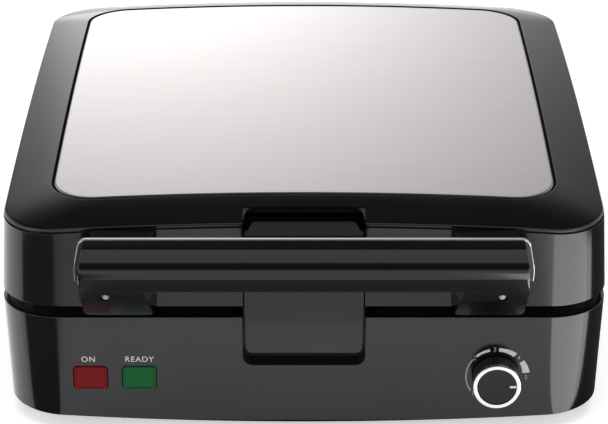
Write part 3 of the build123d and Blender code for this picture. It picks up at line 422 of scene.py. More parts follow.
@dataclass(frozen=True)
class Finish:
    """A surface: what it is made of, and the grain that its making leaves.

    Colours are sRGB hex. The grain is a noise whose size is given in real millimetres along X, Y and Z.
    """

    name: str
    colour: str
    fleck: str                  # colour that the grain drifts towards
    roughness: float
    rough_spread: float         # how far the grain moves the roughness
    grain: tuple[float, float, float]
    bump: float                 # millimetres of relief
    metallic: float = 0.0
    ior: float = 1.5
    specular: float = 0.5
    anisotropy: float = 0.0
    transmission: float = 0.0
    glow: float = 0.0
    detail: float = 3.0

    def material(self) -> bpy.types.Material:
        """Builds the material once, and gives it back after that.

        One noise moves the roughness, drifts the colour towards the fleck and raises the relief.

        Returns:
            The material.
        """
        known = bpy.data.materials.get(self.name)
        if known is not None:
            return known
        made = bpy.data.materials.new(self.name)
        made.use_nodes = True
        tree = made.node_tree
        tree.nodes.clear()
        scale = tuple(1 / (size * MM) for size in self.grain)
        place = add_node(tree, "ShaderNodeTexCoord", {}, {})
        mapped = add_node(tree, "ShaderNodeMapping", {}, {"Vector": place.outputs["Object"], "Scale": scale})
        noise = add_node(tree, "ShaderNodeTexNoise", {}, {
            "Vector": mapped.outputs[0], "Scale": 1.0, "Detail": self.detail,
        })
        value = noise.outputs["Fac"]
        rough = add_node(tree, "ShaderNodeMapRange", {}, {
            "Value": value,
            "To Min": max(SMOOTHEST, self.roughness - self.rough_spread),
            "To Max": self.roughness + self.rough_spread,
        })
        tint = add_node(tree, "ShaderNodeMix", {"data_type": "RGBA"}, {
            "Factor": value, "A": linear(self.colour), "B": linear(self.fleck),
        })
        relief = add_node(tree, "ShaderNodeBump", {}, {
            "Strength": 1.0, "Distance": self.bump * MM, "Height": value,
        })
        constants = {
            "Metallic": self.metallic, "IOR": self.ior, "Specular IOR Level": self.specular,
            "Anisotropic": self.anisotropy, "Transmission Weight": self.transmission,
            "Emission Color": (1, 1, 1, 1), "Emission Strength": self.glow,
        }
        links = {
            "Base Color": tint.outputs["Result"], "Roughness": rough.outputs[0], "Normal": relief.outputs[0],
        }
        shader = add_node(tree, "ShaderNodeBsdfPrincipled", {}, {**constants, **links})
        if self.anisotropy:
            brushing = {"direction_type": "UV_MAP", "uv_map": "brushing"}
            along = add_node(tree, "ShaderNodeTangent", brushing, {})
            tree.links.new(along.outputs[0], shader.inputs["Tangent"])
        add_node(tree, "ShaderNodeOutputMaterial", {}, {"Surface": shader.outputs[0]})
        return made


# Glossy ABS, moulded in a polished tool: a deep black with a mirror skin and a very slight sink wave
GLOSS_BLACK = Finish(
    "moulded gloss ABS", "#0b0b0c", "#101011",
    roughness=0.13, rough_spread=0.03, grain=even(34.0), bump=0.006,
)
# Satin PBT from a spark-eroded tool: fine grain, drawn a little coarse so that it shows
SATIN_BLACK = Finish(
    "spark eroded PBT", "#131314", "#1b1b1c",
    roughness=0.42, rough_spread=0.08, grain=even(0.8), bump=0.02,
)
# Stainless sheet brushed across the width: long hairlines along X, drawn coarser than real ones
BRUSHED = Finish(
    "brushed stainless sheet", "#bfbbba", "#d0cccb",
    roughness=0.30, rough_spread=0.06, grain=(70.0, 0.8, 8.0), bump=0.004,
    metallic=1.0, anisotropy=0.6, detail=6.0,
)
# Satin chrome on plastic: bright and nearly white
CHROME = Finish(
    "satin chrome plating", "#dcdde0", "#e6e7ea",
    roughness=0.16, rough_spread=0.03, grain=even(6.0), bump=0.001, metallic=1.0,
)
# Pad-printed ink: flat and slightly chalky
INK = Finish(
    "pad printed ink", "#bdbdbb", "#cbcbc9",
    roughness=0.55, rough_spread=0.08, grain=even(0.7), bump=0.004,
)
# The same ink, thinned: a fainter print
INK_GREY = Finish(
    "pad printed grey ink", "#868685", "#949493",
    roughness=0.55, rough_spread=0.08, grain=even(0.7), bump=0.004,
)
# Tinted polycarbonate, polished outside with a frosted back: saturated, with a milky depth
RED_LENS = Finish(
    "red polycarbonate", "#620e10", "#6c1012",
    roughness=0.30, rough_spread=0.08, grain=(7.0, 7.0, 5.0), bump=0.01, specular=0.1,
)
# The same lens in green
GREEN_LENS = Finish(
    "green polycarbonate", "#0f4c26", "#11572b",
    roughness=0.30, rough_spread=0.08, grain=(7.0, 7.0, 5.0), bump=0.01, specular=0.1,
)
# Cast aluminium under a sprayed non-stick coat: dark grey with a fine orange-peel and pale flecks
NONSTICK = Finish(
    "sprayed non-stick coating", "#232325", "#343437",
    roughness=0.36, rough_spread=0.10, grain=even(1.6), bump=0.03, ior=1.4,
)
# Zinc-plated steel: dull silver with soft clouding
STEEL = Finish(
    "zinc plated steel", "#9a9da1", "#b4b7ba",
    roughness=0.30, rough_spread=0.10, grain=even(3.0), bump=0.004, metallic=1.0,
)
# Aluminised sheet: bright, softly spangled
REFLECTOR = Finish(
    "aluminised sheet", "#b9bbbd", "#d0d2d3",
    roughness=0.26, rough_spread=0.10, grain=even(9.0), bump=0.004, metallic=1.0,
)
# Moulded rubber: dull with a dusty grain
RUBBER = Finish(
    "moulded rubber", "#17171a", "#232326",
    roughness=0.78, rough_spread=0.08, grain=even(1.2), bump=0.03, ior=1.52,
)
# Painted shade in the groove round the sheet: a dull, very dark finish that stands for its shadow
GROOVE_SHADE = Finish(
    "painted groove shade", "#050505", "#080808",
    roughness=0.85, rough_spread=0.05, grain=even(1.5), bump=0.01, specular=0.1,
)
# Chrome foil on the handle's strip, brushed across it: a duller silver than plating
STRIP = Finish(
    "brushed chrome foil", "#a6a7a9", "#b2b3b5",
    roughness=0.22, rough_spread=0.05, grain=(1.0, 9.0, 9.0), bump=0.001, metallic=1.0,
)
# Phenolic, moulded in a blasted tool: a dull black with a fine grain
KNOB = Finish(
    "moulded phenolic", "#0c0c0d", "#111112",
    roughness=0.45, rough_spread=0.08, grain=even(0.9), bump=0.02, specular=0.3,
)
# Barrel-plated screw heads: matt and pale
ZINC = Finish(
    "barrel zinc plating", "#c9cacb", "#d6d7d8",
    roughness=0.38, rough_spread=0.08, grain=even(3.0), bump=0.004, metallic=0.55,
)
# Solder resist over glass cloth: a half-gloss green with faint mottling
BOARD = Finish(
    "solder resist", "#0f4a26", "#1a6336",
    roughness=0.35, rough_spread=0.08, grain=even(1.0), bump=0.01, ior=1.55,
)
# Drawn glass of a small lamp: clear and smooth
LAMP = Finish(
    "lamp glass", "#e9ece9", "#f2f4f2",
    roughness=0.06, rough_spread=0.02, grain=even(4.0), bump=0.001, transmission=0.8,
)
# White card with a light behind it: the brightest thing that the gloss mirrors
WHITE_CARD = Finish(
    "lit white card", "#f0f0f0", "#f4f4f4",
    roughness=0.8, rough_spread=0.05, grain=even(5.0), bump=0.0, glow=1.0,
)
# Dark grey card: takes the floor's white out of the gloss. Under the front edge it is a painted shadow, for
# the base's shade on the floor
CARD = Finish(
    "grey card", "#464646", "#4b4b4b",
    roughness=0.8, rough_spread=0.05, grain=even(5.0), bump=0.0,
)
# Mid grey card: dims the gloss by half, a painted shadow that stands for the handle's shade on the floor
HANDLE_SHADOW_GREY = Finish(
    "painted handle shadow grey", "#8e8e8e", "#939393",
    roughness=0.8, rough_spread=0.05, grain=even(5.0), bump=0.0,
)
# Pale card: a little dimmer than the floor
PALE_CARD = Finish(
    "pale card", "#d2d2d2", "#d6d6d6",
    roughness=0.8, rough_spread=0.05, grain=even(5.0), bump=0.0, glow=0.36,
)
# White acrylic studio floor, lit a little from below: an even white
FLOOR = Finish(
    "lit acrylic floor", "#f4f4f4", "#f7f7f7",
    roughness=0.65, rough_spread=0.05, grain=even(400.0), bump=0.0, glow=0.50,
)

NODE_FINISH = {
    "black_gloss": GLOSS_BLACK, "black_satin": SATIN_BLACK, "brushed_steel": BRUSHED, "bright_trim": CHROME,
    "white_mark": INK, "red_lens": RED_LENS, "green_lens": GREEN_LENS, "coated_casting": NONSTICK,
    "bare_steel": STEEL, "reflector_sheet": REFLECTOR, "black_rubber": RUBBER, "circuit_board": BOARD,
    "lamp_glass": LAMP,
}


def dress(piece: Piece, finish: Finish, body: str, slot: str, *nodes: str) -> Piece:
    """Gives a piece its finish and its body, and lets it stand for solids of the frame.

    Args:
        piece: the piece to dress.
        finish: its first finish.
        body: the body that it rides on.
        slot: its material slot; not used.
        *nodes: the solids that it replaces.

    Returns:
        The same piece.
    """
    piece.data.materials.append(finish.material())
    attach(piece, body)
    if nodes:
        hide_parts(*nodes)
    LOG.info("%s rides on %s", piece.name, body)
    return piece


@dataclass
class Casing:
    """Outside form that the lid and the base share, in millimetres, placed by the frame."""

    width: float = 320.0
    depth: float = 345.0
    corner: float = 31.0
    parting: float = 6.2            # base rim to the lid's lower edge
    lid_draft: float = 3.0          # degrees, narrower at the top
    base_draft: float = 2.4         # degrees, narrower at the bottom
    wall: float = 2.6
    edge: float = 0.6               # rounding of the parting edges
    small_edge: float = 0.35        # rounding of the other edges
    crown_radius: float = 2200.0
    wall_height: float = 46.0       # lid's lower edge to the frame seam
    hinge_in: float = 60.0          # side of the casing to the middle of a hinge
    eye: float = 6.2                # radius of a hinge lug's round end
    lug_foot: float = 18.0          # a lug's web runs this far along the wall

    def __post_init__(self) -> None:
        """Finds the places that follow from the frame."""
        pin = node_box("hinge_pin_left").mean(axis=0)
        self.y_mid = float(node_box("lower_waffle_plate")[:, 1].mean())
        self.y_hinge, self.z_mid = float(pin[1]), float(pin[2])
        self.y_front = self.y_mid - self.depth / 2
        self.y_rear = self.y_mid + self.depth / 2
        self.z_rim = self.z_mid - self.parting / 2
        self.z_lid = self.z_mid + self.parting / 2
        self.z_seam = self.z_lid + self.wall_height
        self.lid_slope = math.tan(math.radians(self.lid_draft))
        self.base_slope = math.tan(math.radians(self.base_draft))
        self.seam_in = self.wall_height * self.lid_slope

    def loop(self, inset: float) -> Array:
        """The plan outline, drawn in by an inset, shape (n, 2)."""
        loop = rounded_loop(self.width - 2 * inset, self.depth - 2 * inset, self.corner - inset)
        return loop + [0, self.y_mid]

    def outward(self) -> Array:
        """Unit vectors that point out of the plan outline, shape (n, 2)."""
        return self.loop(0) - self.loop(1)

    def crown(self, loop: Array, depth: float) -> Array:
        """Height of the lid's dome over a plan outline, above the middle of its front edge.

        The dome is a sphere, so the height is the sphere's drop at the front edge less its drop at the point.

        Args:
            loop: plan points, shape (n, 2).
            depth: depth of the outline whose front edge is the datum.

        Returns:
            Heights, shape (n,).
        """
        reach = loop[:, 0] ** 2 + (loop[:, 1] - self.y_mid) ** 2
        return np.sqrt(self.crown_radius ** 2 - reach) - math.sqrt(self.crown_radius ** 2 - depth ** 2 / 4)

    def wall_face(self, z: Array | float) -> Array | float:
        """Y of the base's front face at a height."""
        return self.y_front + (self.z_rim - z) * self.base_slope

    def hinge_x(self, side: Side) -> float:
        """X of the middle of a hinge."""
        return side.value * (self.width / 2 - self.hinge_in)

    def lug(self, name: str, x_low: float, x_high: float, up: int) -> Piece:
        """A hinge lug: a web from the rear wall that runs into a round eye.

        Args:
            name: name of the new piece.
            x_low: start along X.
            x_high: end along X.
            up: -1 for the base, whose web hangs below the eye, 1 for the lid.

        Returns:
            The closed solid.
        """
        wall_y = self.y_rear - self.wall / 2
        foot = (self.z_lid if up > 0 else self.z_rim) + up * self.lug_foot
        near = self.z_mid + up * (self.parting / 2 + self.edge)
        lean = math.atan2(up * (near - self.z_mid), wall_y - self.y_hinge)
        angle = np.linspace(QUARTER, lean - 2 * math.pi if lean > QUARTER else lean, TURN_STEPS)
        eye_y = self.y_hinge + self.eye * np.cos(angle)
        eye_z = self.z_mid + up * self.eye * np.sin(angle)
        outline = np.concatenate([[[wall_y, foot]], np.stack([eye_y, eye_z], axis=1), [[wall_y, near]]])
        return prism(name, outline, Axis.X, x_low, x_high)


@dataclass
class LidTop:
    """Domed top of the lid with its walls: a sloping frame round a brushed sheet."""

    casing: Casing
    rise: float = 7.65              # frame seam to the sheet
    frame_in: float = 26.2          # lid's lower edge to the sheet, in plan
    sheet_corner: float = 24.0
    lip: float = 0.5                # upright edge of the frame below the seam
    lip_up: float = 1.3             # and above it
    lip_edge: float = 0.12          # rounding of its lower edge
    lip_round: float = 1.65         # and of its upper edge
    under_round: float = 1.0        # rounding under the frame
    groove: float = 1.1             # shadow groove under the lip
    groove_in: float = 1.4
    groove_gap: float = 0.1         # groove's wall to the lip's underside
    seat_drop: float = 1.25
    seat_width: float = 9.0
    frame_wall: float = 2.2
    front_more: float = 2.6         # the frame's front inner edge is drawn out by this much
    bead_margin: float = 0.02       # a face that is this close to the inner edge lies inside it
    sheet: float = 0.9
    sheet_gap: float = 1.4          # gap between the sheet and the frame, whose floor has the painted shade
    front_gap: float = 2.4
    sheet_sink: float = 0.35        # sheet below the frame's inner edge
    # Rings of the sheet, as shares of its plan: under it, round its edge and over it. The edge's rings
    # also have a share of its thickness
    sheet_under: tuple[float, ...] = (0.0, 0.5, 0.9, 1.0)
    sheet_edge: Pairs = ((1.0, 0.45), (0.9975, 0.12), (0.995, 0.0))
    sheet_over: tuple[float, ...] = (0.99, 0.95, 0.85, 0.7, 0.5, 0.3, 0.12, 0.0)
    bay_half: float = 31.8
    bay_depth: float = 14.4
    bay_corner: float = 4.4
    bay_wall: float = 2.2
    bay_margin: float = 0.1         # the bay's walls stop this far inside the lid's
    bay_past: tuple[float, float] = (5.0, 20.0)     # its cutting tool goes this far below and above them
    gusset: tuple[float, float] = (3.8, 8.5)    # width and height of the bay's upper corner webs
    gusset_thick: float = 0.9
    gusset_lean: float = 0.4
    gusset_bite: float = 0.3        # a web's ends lie this far in the wall and below the frame
    knuckle: float = 11.2           # width of the lid's hinge lug

    def sheet_loop(self, inset: float, front_inset: float) -> Array:
        """Plan outline of the frame's inner edge, drawn in by an inset.

        The front half is then stretched, in proportion to its distance from the middle, until the front edge
        has an inset of its own.

        Args:
            inset: distance inside the frame's inner edge.
            front_inset: the same, at the front edge.

        Returns:
            Plan points, shape (n, 2).
        """
        span = 2 * (self.frame_in + inset)
        depth = self.casing.depth - span
        loop = rounded_loop(self.casing.width - span, depth, self.sheet_corner - inset)
        loop[:, 1] -= (self.front_more + inset - front_inset) * np.clip(-2 * loop[:, 1] / depth, 0, 1)
        return loop + [0, self.casing.y_mid]

    def frame(self) -> Piece:
        """The sloping frame.

        A closed section is carried round: each of its points lies on the straight line from the seam loop to
        the sheet's loop, or that line's extension, with a height above or below it.

        Returns:
            The closed solid, whose faces under the sheet have the second finish, a painted shade for the
            groove.
        """
        case = self.casing
        run = self.frame_in - case.seam_in
        seam = case.loop(case.seam_in)
        inner = self.sheet_loop(0, 0)
        seam_z = case.z_seam + case.crown(seam, case.depth - 2 * case.seam_in)
        inner_z = case.z_seam + self.rise + case.crown(inner, case.depth - 2 * self.frame_in)
        seat = self.rise - self.seat_drop
        under = seat - self.frame_wall
        far = run + self.seat_width
        flat = self.frame_wall + (run - self.frame_wall) * (self.frame_wall - self.lip) / seat
        corners = np.array([
            (0, -self.lip, self.lip_edge), (0, self.lip_up, self.lip_round), (run, self.rise, EASED),
            (run, seat, SHARP), (far, seat, CRISP), (far, under, CRISP),
            (run, under, self.under_round), (flat, -self.lip, self.under_round),
        ])
        section = softened(corners[:, :2], corners[:, 2])
        t = (section[:, 0] / run)[:, None]
        rings = np.empty((len(section), len(seam), 3))
        rings[:, :, :2] = (1 - t[:, :, None]) * seam + t[:, :, None] * inner
        rings[:, :, 2] = (1 - t) * seam_z + t * inner_z + section[:, 1:] - self.rise * t
        piece = lofted("lid_frame_moulding", rings, closed=True)
        notch = rectangle(-self.bay_half, self.bay_half, case.y_front - PAST, case.y_front + self.bay_depth)
        tool = prism("notch", notch, Axis.Z, case.z_lid, case.z_seam + case.wall_height)
        carve(piece, tool, Cut.REMOVE)
        self.mark_bead(piece.data)
        return piece

    def mark_bead(self, mesh: bpy.types.Mesh) -> None:
        """Gives the faces inside the frame's inner edge the second finish: painted shade for the dark groove.

        A face is inside where its distance to a rounded rectangle is negative. The stretched front half is
        drawn back first.

        Args:
            mesh: the frame's mesh.
        """
        local = face_centres(mesh)[:, :2] - [0, self.casing.y_mid]
        half = np.array([self.casing.width, self.casing.depth]) / 2 - self.frame_in
        local[:, 1] *= np.where(local[:, 1] < 0, half[1] / (half[1] + self.front_more), 1)
        past = np.abs(local) - half + self.sheet_corner
        mark_faces(mesh, past_corner(*past.T) - self.sheet_corner < self.bead_margin)

    def steel_sheet(self) -> Piece:
        """The brushed sheet: its outline shrinks to the middle in rings that lie on the dome.

        The rings run from the middle of the underside to the edge, round it, and back over the top.

        Returns:
            The closed solid, with a map for its brushing.
        """
        case = self.casing
        loop = self.sheet_loop(self.sheet_gap, self.front_gap)
        under = [(share, 1.0) for share in self.sheet_under]
        over = [(share, 0.0) for share in self.sheet_over]
        shrink, drop = np.array([*under, *self.sheet_edge, *over]).T
        middle = np.array([0, case.y_mid])
        rings = np.empty((len(shrink), len(loop), 3))
        rings[:, :, :2] = middle + shrink[:, None, None] * (loop - middle)
        flat = rings[:, :, :2].reshape(-1, 2)
        top = case.z_seam + self.rise - self.sheet_sink + case.crown(flat, case.depth - 2 * self.frame_in)
        rings[:, :, 2] = top.reshape(len(shrink), -1) - drop[:, None] * self.sheet
        piece = lofted("brushed_steel_sheet", rings)
        self.lay_brushing(piece.data)
        return piece

    def lay_brushing(self, mesh: bpy.types.Mesh) -> None:
        """Adds a map whose first direction runs across the width, as the brushing does.

        Args:
            mesh: the sheet's mesh.
        """
        places = read_values(mesh.vertices, "co", 3, np.float32)
        corner = read_values(mesh.loops, "vertex_index", 1, np.int32)[:, 0]
        layer = mesh.uv_layers.new(name="brushing")
        layer.uv.foreach_set("vector", places[corner, :2].ravel())

    def walls(self) -> Piece:
        """The lid's walls: a closed section carried round, whose top edge follows the dome.

        Returns:
            The closed solid, with the latch bay cut in and the hinge lugs joined on.
        """
        case = self.casing
        top = case.z_seam - self.lip - self.groove
        neck = top + self.groove - self.groove_gap
        corners = np.array([
            (0, case.z_lid, case.edge), (0, top, EASED), (self.groove_in, top, SHARP),
            (self.groove_in, neck, CRISP), (case.wall, neck, CRISP), (case.wall, case.z_lid, EASED),
        ])
        section = softened(corners[:, :2], corners[:, 2])
        crown = case.crown(case.loop(case.seam_in), case.depth - 2 * case.seam_in)
        share = (section[:, 1:] - case.z_lid) / (top - case.z_lid)
        z = section[:, 1:] + share * crown
        inset = section[:, :1] + (z - case.z_lid) * case.lid_slope
        rings = np.empty((*z.shape, 3))
        rings[:, :, :2] = case.loop(0) - inset[:, :, None] * case.outward()
        rings[:, :, 2] = z
        piece = lofted("lid_walls", rings, closed=True)
        low, high = case.z_lid + self.bay_margin, top - self.bay_margin
        carve(piece, self.bay("bay_walls", self.bay_wall, low, high, case.wall / 2), Cut.JOIN)
        half = self.knuckle / 2
        for side in Side:
            x = case.hinge_x(side)
            carve(piece, case.lug("knuckle", x - half, x + half, 1), Cut.JOIN)
        below, above = self.bay_past
        carve(piece, self.bay("bay", 0, case.z_lid - below, case.z_seam + above, -PAST), Cut.REMOVE)
        for side in Side:
            carve(piece, self.corner_web(side), Cut.JOIN)
        return soften(piece, case.small_edge)

    def corner_web(self, side: Side) -> Piece:
        """A web in an upper corner of the bay: a hollow quarter ellipse, leaning back towards its top.

        Args:
            side: the corner that it fills.

        Returns:
            The closed solid.
        """
        wide, tall = self.gusset
        slope = self.rise / (self.frame_in - self.casing.seam_in - self.front_more)
        high = self.casing.z_seam + (self.bay_depth - self.casing.seam_in) * slope - self.gusset_bite
        outer = self.bay_half + self.gusset_bite
        angle = np.linspace(0, QUARTER, ARC_STEPS)
        arc_x = self.bay_half - wide * (1 - np.cos(angle))
        arc_z = high - tall * (1 - np.sin(angle))
        outline = np.concatenate([np.stack([arc_x, arc_z], axis=1), [[outer, high], [outer, high - tall]]])
        rear = self.casing.y_front + self.bay_depth + (outline[:, 1] - high) * self.gusset_lean
        rings = np.empty((2, len(outline), 3))
        rings[:, :, 0] = side.value * outline[:, 0]
        rings[:, :, 1] = rear - np.array([[self.gusset_thick], [0]])
        rings[:, :, 2] = outline[:, 1]
        return lofted("corner_web", rings)

    def bay(self, name: str, grow: float, low: float, high: float, start: float) -> Piece:
        """The latch bay between two heights: a rectangle in plan with round rear corners.

        Args:
            name: name of the new piece.
            grow: thickness of wall round the bay, or 0 for its hollow.
            low: lower height.
            high: upper height.
            start: how far behind the front face it begins.

        Returns:
            The closed solid.
        """
        front = self.casing.y_front
        half = self.bay_half + grow
        plan = rectangle(-half, half, front + start, front + self.bay_depth + grow)
        corner = ROUND * (self.bay_corner + grow)
        outline = softened(plan, [CRISP, CRISP, corner, corner], CORNER_STEPS)
        return prism(name, outline, Axis.Z, low, high)

    def build(self) -> None:
        """Makes and dresses the top, its sheet and the walls."""
        frame_piece = dress(self.frame(), GLOSS_BLACK, "lid", "black_gloss", "lid_top_frame")
        # The second finish is painted shade: a dull near-black on the faces under the sheet, for the dark
        # groove round it
        frame_piece.data.materials.append(GROOVE_SHADE.material())
        dress(self.steel_sheet(), BRUSHED, "lid", "brushed_steel", "steel_panel")
        dress(self.walls(), GLOSS_BLACK, "lid", "black_gloss", "lid_shell")


@dataclass
class Handle:
    """Front handle, measured out from the lid's front face and up from its lower edge."""

    casing: Casing
    out: float = 32.6               # lower front edge
    half: float = 115.2             # half length at the lower front edge
    lean: float = 3.2               # each end leans in by this much at the top
    low: float = 31.2               # lower edge of the front face
    top: float = 47.9
    heel: tuple[float, float] = (23.0, 19.3)    # lowest edge: out and up
    heel_round: float = 0.8
    # Corners of the stepped front, going up: out, up and reach
    step_corners: tuple[tuple[float, float, float], ...] = (
        (32.3, 36.2, 1.7), (29.3, 38.3, 1.4), (28.0, 41.4, 1.5), (27.0, 45.9, 1.2),
    )
    back_low: float = 23.2          # lower end of the cover's flat back
    cover_sink: float = 0.25        # cover's rear edge below the handle's top
    end_radius: float = 2.5         # plan rounding of the ends
    # Rings that close an end: share of the section, and how far the ring stands back
    end_rings: Pairs = ((0.0, 0.0), (0.5, 0.0), (0.9, 0.0), (0.97, 0.15), (1.0, 0.8))
    trim_out: float = 20.0
    trim_thick: float = 1.4
    trim_half: float = 117.7        # half length at the widest point
    trim_wide: float = 30.5         # height of the widest point
    trim_low: float = 24.7
    trim_foot_in: float = 0.7       # its lower corner comes in by this much
    trim_top_in: float = 3.3        # and its upper one by this much
    trim_proud: float = 0.5
    trim_rounds: tuple[float, float, float] = (0.4, 4.5, 4.0)   # foot, widest point and upper corner
    trim_steps: int = 11
    trim_border: tuple[float, float] = (0.32, 0.55)     # bright part of the strip's face, at its ends and top
    trim_foot: float = 0.02         # and at its foot
    trim_edge: float = 0.3
    trim_segments: int = 3
    arm_clear: float = 0.1          # lid's face to the arm's rear
    arm_inset: float = 1.3
    arm_width: float = 33.5
    arm_waist: float = 26.0         # height of the widest point
    arm_flare: float = 2.0
    arm_top: float = 43.0
    arm_drop: float = 1.9           # lower end below the lid's edge
    arm_rise: float = 30.0          # the arm's front is upright from this height
    arm_reach: float = 16.5         # and stands this far out
    arm_fall: float = 4.4           # the top falls by this much towards the handle
    arm_lean: float = 4.2
    arm_inner_lean: float = 2.0
    arm_taper: float = 7.6          # the inner side comes in by this much over the handle's reach
    arm_corner: float = 3.0
    arm_waist_round: float = 6.0
    arm_inner_round: float = 4.0
    arm_edge: float = 0.5
    screw_in: float = 12.0          # arm's outer side to the screw
    screw_up: float = 14.0
    screw_bore: float = 2.7         # radius
    screw_end: float = 2.9          # end of the pair's box to a screw's axis
    shank: float = 1.9              # radius
    head: float = 2.2               # radius
    head_under: float = 9.3         # underside of a head, out from the lid's face
    head_sink: float = 0.6          # foot of the dome behind the middle of the handle's reach
    head_dome: float = 1.3

    def end(self, section: Array) -> Array:
        """Half length of the handle at points of its section.

        The ends lean in towards the top, and are rounded in plan by a quarter circle at the front.

        Args:
            section: points out and up, shape (n, 2).

        Returns:
            Half lengths, shape (n,).
        """
        lean = self.half - self.lean * np.clip((section[:, 1] - self.low) / (self.top - self.low), 0, 1)
        past = np.clip(section[:, 0] - (self.out - self.end_radius), 0, self.end_radius)
        return lean - (self.end_radius - np.sqrt(self.end_radius ** 2 - past ** 2))

    def cover(self) -> Piece:
        """Stepped front: a rounded section carried along X, whose ends close in rings.

        Returns:
            The closed solid.
        """
        back = self.trim_out + self.trim_thick / 2
        corners = np.array([
            (*self.heel, self.heel_round), (self.out, self.low, EASED), *self.step_corners,
            (back, self.top - self.cover_sink, EASED), (back, self.back_low, EASED),
        ])
        section = softened(corners[:, :2], corners[:, 2], CORNER_STEPS)
        middle = section.mean(axis=0)
        shrink, stand_back = np.array(self.end_rings).T
        inside = middle + shrink[:, None, None] * (section - middle)
        ends = self.end(inside.reshape(-1, 2)).reshape(len(shrink), -1) - stand_back[:, None]
        y = self.casing.y_front - inside[:, :, 0]
        right = np.stack([ends, y, self.casing.z_lid + inside[:, :, 1]], axis=-1)
        left = right[::-1] * [-1, 1, 1]
        return lofted("handle_cover_moulding", np.concatenate([right, left]))

    def trim(self) -> Piece:
        """Bright strip: a flat outline with round upper corners and a bulge at each end.

        Only its border is bright. The face inside the border is black.

        Returns:
            The closed solid, whose flat faces have the second finish.
        """
        z = self.casing.z_lid
        shape = mirrored([
            (self.trim_half - self.trim_foot_in, z + self.trim_low), (self.trim_half, z + self.trim_wide),
            (self.trim_half - self.trim_top_in, z + self.top + self.trim_proud),
        ])
        outline = softened(shape, [*self.trim_rounds, *self.trim_rounds[::-1]], self.trim_steps)
        middle = np.array([0, outline[:, 1].min() + self.trim_foot])
        reach = (outline.max(axis=0) - outline.min(axis=0)) / 2
        inner = middle + (outline - middle) * (1 - np.array(self.trim_border) / reach)
        rings = np.empty((4, len(outline), 3))
        rings[:, :, [0, 2]] = np.stack([inner, outline, outline, inner])
        side = self.trim_thick / 2 * np.array([-1, -1, 1, 1])
        rings[:, :, 1] = (self.casing.y_front - self.trim_out + side)[:, None]
        piece = lofted("handle_bright_strip", rings)
        corners = read_values(piece.data.polygons, "loop_total", 1, np.int32)[:, 0]
        mark_faces(piece.data, corners > 4)
        return soften(piece, self.trim_edge, self.trim_segments)

    def arm_front(self, side: Side, taper: float) -> Array:
        """Front outline of an arm: widest at its waist, and leaning in above it.

        Args:
            side: the arm's side.
            taper: how far its inner side is moved outwards.

        Returns:
            Points X and Z, shape (n, 2).
        """
        case = self.casing
        outer = self.half - self.arm_inset
        inner = outer - self.arm_width + taper
        low, top = case.z_lid - self.arm_drop, case.z_lid + self.arm_top
        waist = case.z_lid + self.arm_waist
        corner = ROUND * self.arm_corner
        corners = np.array([
            (inner, low, corner), (outer, low, corner), (outer + self.arm_flare, waist, self.arm_waist_round),
            (outer - self.arm_lean, top, SHARP), (inner + self.arm_inner_lean, top, SHARP),
            (inner, waist, self.arm_inner_round),
        ])
        return softened(corners[:, :2] * [side.value, 1], corners[:, 2], CORNER_STEPS)

    def arm(self, side: Side) -> Piece:
        """Arm from the lid to the handle: a side outline crossed with a tapering front outline.

        The inner side moves outwards in proportion to the reach, and has its set place at half of the reach.

        Args:
            side: the arm's side.

        Returns:
            The closed solid, with its screw bore.
        """
        case = self.casing
        heel_out, heel_up = self.heel
        slope = (self.out - heel_out) / (self.low - heel_up)
        foot = self.out - (self.low + self.arm_drop) * slope
        shape = np.array([
            (self.arm_clear, -self.arm_drop), (foot, -self.arm_drop), self.heel,
            (self.arm_reach, self.arm_rise), (self.arm_reach, self.arm_top - self.arm_fall),
            (self.arm_clear - self.arm_top * case.lid_slope, self.arm_top),
        ])
        outline = [case.y_front, case.z_lid] + shape * [-1, 1]
        name = f"handle_arm_{side.name.lower()}_moulding"
        piece = prism(name, outline, Axis.X, -self.half, self.half)
        reach = np.array([1, -1])
        fronts = [self.arm_front(side, taper) for taper in self.arm_taper * (reach - 0.5)]
        rings = np.empty((2, len(fronts[0]), 3))
        rings[:, :, [0, 2]] = np.stack(fronts)
        rings[:, :, 1] = (case.y_front - self.out * reach)[:, None]
        carve(piece, lofted("front", rings), Cut.COMMON)
        x = side.value * (self.half - self.arm_inset - self.screw_in)
        seat = -(self.out - (self.low - self.screw_up) * slope) / 2
        place = np.array([x, case.y_front, case.z_lid + self.screw_up])
        carve(piece, rod("bore", self.screw_bore, -self.out, seat, Axis.Y, place), Cut.REMOVE)
        return soften(piece, self.arm_edge)

    def screws(self) -> Piece:
        """Two screws in the arms: turned, with heads domed by a quarter ellipse.

        Returns:
            Both screws as one piece.
        """
        box = node_box("handle_screws")
        angle = np.linspace(0, QUARTER, ARC_STEPS)
        dome = self.head_sink - self.out / 2 - self.head_dome * np.sin(angle)
        under = [[0, 0], [self.shank, 0], [self.shank, -self.head_under], [self.head, -self.head_under]]
        profile = np.concatenate([under, np.stack([self.head * np.cos(angle), dome], axis=1)])
        z = box[:, 2].mean()
        left, right = (
            turned("handle_screw_heads", profile, Axis.Y, np.array([x, self.casing.y_front, z]))
            for x in (box[0, 0] + self.screw_end, box[1, 0] - self.screw_end)
        )
        return carve(left, right, Cut.JOIN)

    def build(self) -> None:
        """Makes and dresses the handle's pieces."""
        dress(self.screws(), ZINC, "lid", "bare_steel", "handle_screws")
        dress(self.cover(), GLOSS_BLACK, "lid", "black_gloss", "handle_cover")
        strip = dress(self.trim(), STRIP, "lid", "bright_trim", "handle_trim")
        strip.data.materials.append(SATIN_BLACK.material())
        for side in Side:
            dress(self.arm(side), GLOSS_BLACK, "lid", "black_gloss", f"handle_arm_{side.name.lower()}")


